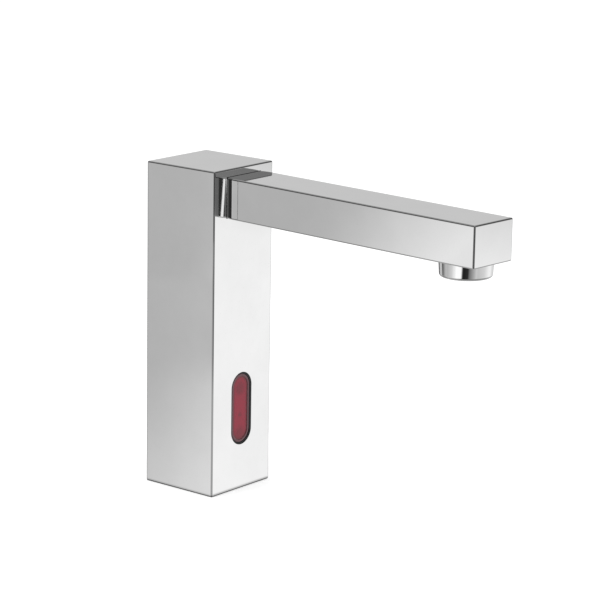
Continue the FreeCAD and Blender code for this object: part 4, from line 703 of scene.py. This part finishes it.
# painted light and shade: the floor tones below are seen only by polished metal, a painted
# reflection
# what polished metal sees on the floor: tones by direction round the foot, in degrees from +X,
# for a ring close to the foot and one further out. They follow readings of the photograph's
# greys, changed one by one
nearTones = [(-180, 0.75), (-174, 0.7), (-168, 0.14), (-160, 0.08), (-152, 0.25), (-144, 0.33),
             (-136, 0.47), (-127, 0.53), (-119, 0.49), (-109, 0.55), (-91, 0.69), (-86, 0.82),
             (-79, 0.92), (-73, 1.1), (-55.5, 1.1), (-52.5, 0.45), (-50.5, 0.04), (-47, 0.015),
             (-33, 0.03), (-30, 0.165), (-22, 0.31), (-13, 0.5), (-8, 0.66), (-3, 0.6),
             (20, 0.72), (41, 0.98), (54, 0.98), (59, 0.82), (89, 0.66), (125, 0.35),
             (150, 0.12)]
farTones = [(-180, 0.5), (-172, 0.4), (-165, 0.06), (-148, 0.06), (-139, 0.4), (-135, 0.474),
            (-131, 0.482), (-129, 0.497), (-127.8, 0.535), (-126, 0.62), (-124, 0.70),
            (-121.5, 0.78), (-119, 0.87), (-112, 0.8), (-101, 0.45), (-92, 0.19), (-87.5, 0.14),
            (-85.5, 0.045), (-70, 0.028), (-57.5, 0.03), (-55, 0.13), (-52, 0.4), (-44, 0.54),
            (-42.05, 0.54), (-41.6, 1.0), (-38.0, 0.024), (-21, 0.028), (-12, 0.14), (0, 0.5),
            (25, 0.93), (50, 0.98), (110, 0.6)]

# the floor: its tone on a slope round the foot, painted shade, and a painted contact shadow where
# the foot stands, then the two rings, with a painted highlight streak across the outer one; wall
# and diffuse are the world's tones for polished metal and for everything else
room = {"floorSize": 6.0, "floorColour": (0.8, 0.8, 0.8), "seen": 0.45,
        "footStart": 0.654, "footX": 3.48, "footY": -2.25, "footLow": 0.475, "footHigh": 0.98,
        "frontEdge": (0.016, 0.026), "foot": 22.5, "contact": 4.0, "contactShadow": 0.2,
        "footEdge": (0.20, 0.32), "ringEdge": (0.48, 0.52), "ringShift": 0.14,
        "shiftEdge": (-0.25, -0.05), "streakTurn": 63.4, "streakPlace": 0.497,
        "streakHalf": 0.054, "streakLevel": 1.1, "streakEdge": (-0.3, -0.4),
        "fadeEdge": (0.8, 1.2), "fade": 0.29, "white": 1.0, "wall": 0.59, "wallEdge": (10.0, 70.0),
        "wallRise": 0.2, "diffuse": 0.75}

# dark cards that polished metal sees standing round the tap: the way they stand, half their
# width, their lower and upper edges, in degrees, and their tone
cards = {"far": (51, 34, 3, 48, 0.19), "side": (-130, 30, 2, 40, 0.12),
         "camera": (-40, 34, -2, 45, 0.06)}
cardEdge = {"side": 6, "low": 2, "high": 5}


def lightPaths(graph):
    path = graph.add("LightPath")
    return [graph.out(path, "Is %s Ray" % kind) for kind in ("Camera", "Glossy", "Transmission")]


def addFloor():
    shape = bmesh.new()
    bmesh.ops.create_circle(shape, cap_ends=True, segments=64, radius=room["floorSize"])
    floor = bpy.data.objects.new("floor", meshFrom("floor", shape))
    bpy.context.scene.collection.objects.link(floor)
    material = bpy.data.materials.new("floor")
    graph = Graph(material)
    where = graph.place()
    x, y, z = graph.axes(where)
    camera, glossy, through = lightPaths(graph)
    wheel = graph.add("TexGradient", {"gradient_type": "RADIAL"}, {"Vector": where})
    angle = graph.out(wheel, "Fac")
    near, far = [graph.ramp(angle, [(azimuth / 360 + 0.5, (tone, tone, tone))
                                    for azimuth, tone in tones])
                 for tones in (nearTones, farTones)]
    away = graph.maths("SQRT", x * x + y * y)
    # round the foot the tone slopes across the floor: painted shade of the tap's shadow
    slope = x * room["footX"] + y * room["footY"] + room["footStart"]
    foot = graph.maths("MAXIMUM", graph.span(slope, room["footLow"], room["footHigh"],
                                             room["footLow"], room["footHigh"]),
                       graph.span(x, *room["frontEdge"], 0, room["footHigh"]))
    # painted contact shadow: darker within a few mm of the column's outline
    outside = graph.maths("MAXIMUM", graph.maths("ABSOLUTE", x), graph.maths("ABSOLUTE", y))
    foot = foot * graph.span(outside, room["foot"] * mm, (room["foot"] + room["contact"]) * mm,
                             room["contactShadow"], 1)
    # a bright streak crosses the far ring towards the camera: a painted highlight seen in polished
    # metal
    turn = math.radians(room["streakTurn"])
    across = graph.maths("ABSOLUTE", x * math.sin(turn) - y * math.cos(turn) - room["streakPlace"])
    streak = graph.span(across, room["streakHalf"] * 1.5, room["streakHalf"] * 0.5,
                        0, room["streakLevel"], soft=True) * graph.span(y, *room["streakEdge"])
    far = graph.blend(streak, far, white)
    seen = graph.blend(graph.span(away, *room["footEdge"], soft=True), graph.grey(foot), near)
    ring = away - graph.span(x, *room["shiftEdge"], 0, room["ringShift"])
    seen = graph.blend(graph.span(ring, *room["ringEdge"], soft=True), seen, far)
    # the bright side of the floor darkens far from the tap
    fade = graph.span(away * 0.5 + y, *room["fadeEdge"], 1, 1 - room["fade"])
    direct = graph.add("AddShader", None, {
        0: graph.out(graph.add("BsdfDiffuse", None, {"Color": room["floorColour"]})),
        1: graph.out(graph.add("Emission", None, {"Color": white,
                                                  "Strength": (camera + through) * room["seen"]}))})
    mirrored = graph.add("Emission", None, {"Color": seen, "Strength": fade})
    graph.finish(graph.add("MixShader", None, {0: glossy, 1: graph.out(direct),
                                               2: graph.out(mirrored)}))
    floor.data.materials.append(material)


def addWorld():
    world = bpy.data.worlds.new("studio")
    bpy.context.scene.world = world
    graph = Graph(world)
    x, y, z = graph.axes(graph.out(graph.add("TexCoord"), "Generated"))
    camera, glossy, through = lightPaths(graph)
    height = graph.maths("ARCSINE", z) * math.degrees(1)
    studio = graph.span(height, *room["wallEdge"], room["wall"], room["wall"] + room["wallRise"])
    for facing, half, low, high, tone in cards.values():
        turn = math.radians(facing)
        ahead = x * math.cos(turn) + y * math.sin(turn)
        beside = y * math.cos(turn) - x * math.sin(turn)
        away = graph.maths("ABSOLUTE", graph.maths("ARCTAN2", beside, ahead)) * math.degrees(1)
        side = cardEdge["side"]
        card = (graph.span(away, half + side, half - side, soft=True)
                * graph.span(height, low - cardEdge["low"], low + cardEdge["low"], soft=True)
                * graph.span(height, high + cardEdge["high"], high - cardEdge["high"], soft=True))
        studio = studio - card * (studio - tone)
    shown = graph.maths("MAXIMUM", camera, through)
    level = shown * room["white"] + (1 - shown) * (glossy * studio + (1 - glossy)
                                                   * room["diffuse"])
    graph.finish(graph.add("Background", None, {"Color": white, "Strength": level}), "OutputWorld")


# soft lamps that polished metal doesn't see: place, size, power
lamps = {"key": ((-0.5, -1.0, 1.6), 1.2, 9.0), "fill": ((1.4, 0.6, 1.1), 1.4, 5.0)}
aimHeight = 0.1


def addLamp(name, spot, size, power):
    data = bpy.data.lights.new(name, "AREA")
    data.size = size
    data.energy = power
    lamp = bpy.data.objects.new(name, data)
    lamp.location = spot
    ahead = Vector((0, 0, aimHeight)) - Vector(spot)
    lamp.rotation_euler = ahead.to_track_quat("-Z", "Y").to_euler()
    lamp.visible_glossy = False
    bpy.context.scene.collection.objects.link(lamp)


def addStudio():
    addFloor()
    addWorld()
    for name, (spot, size, power) in lamps.items():
        addLamp(name, spot, size, power)
    bpy.context.scene.view_settings.view_transform = "Standard"


addCamera()
for stage, step in (("column", makeColumn), ("spout", makeSpout), ("aerator", makeAerator),
                    ("sensor window", makeWindow), ("studio", addStudio)):
    step()
    print("made:", stage)
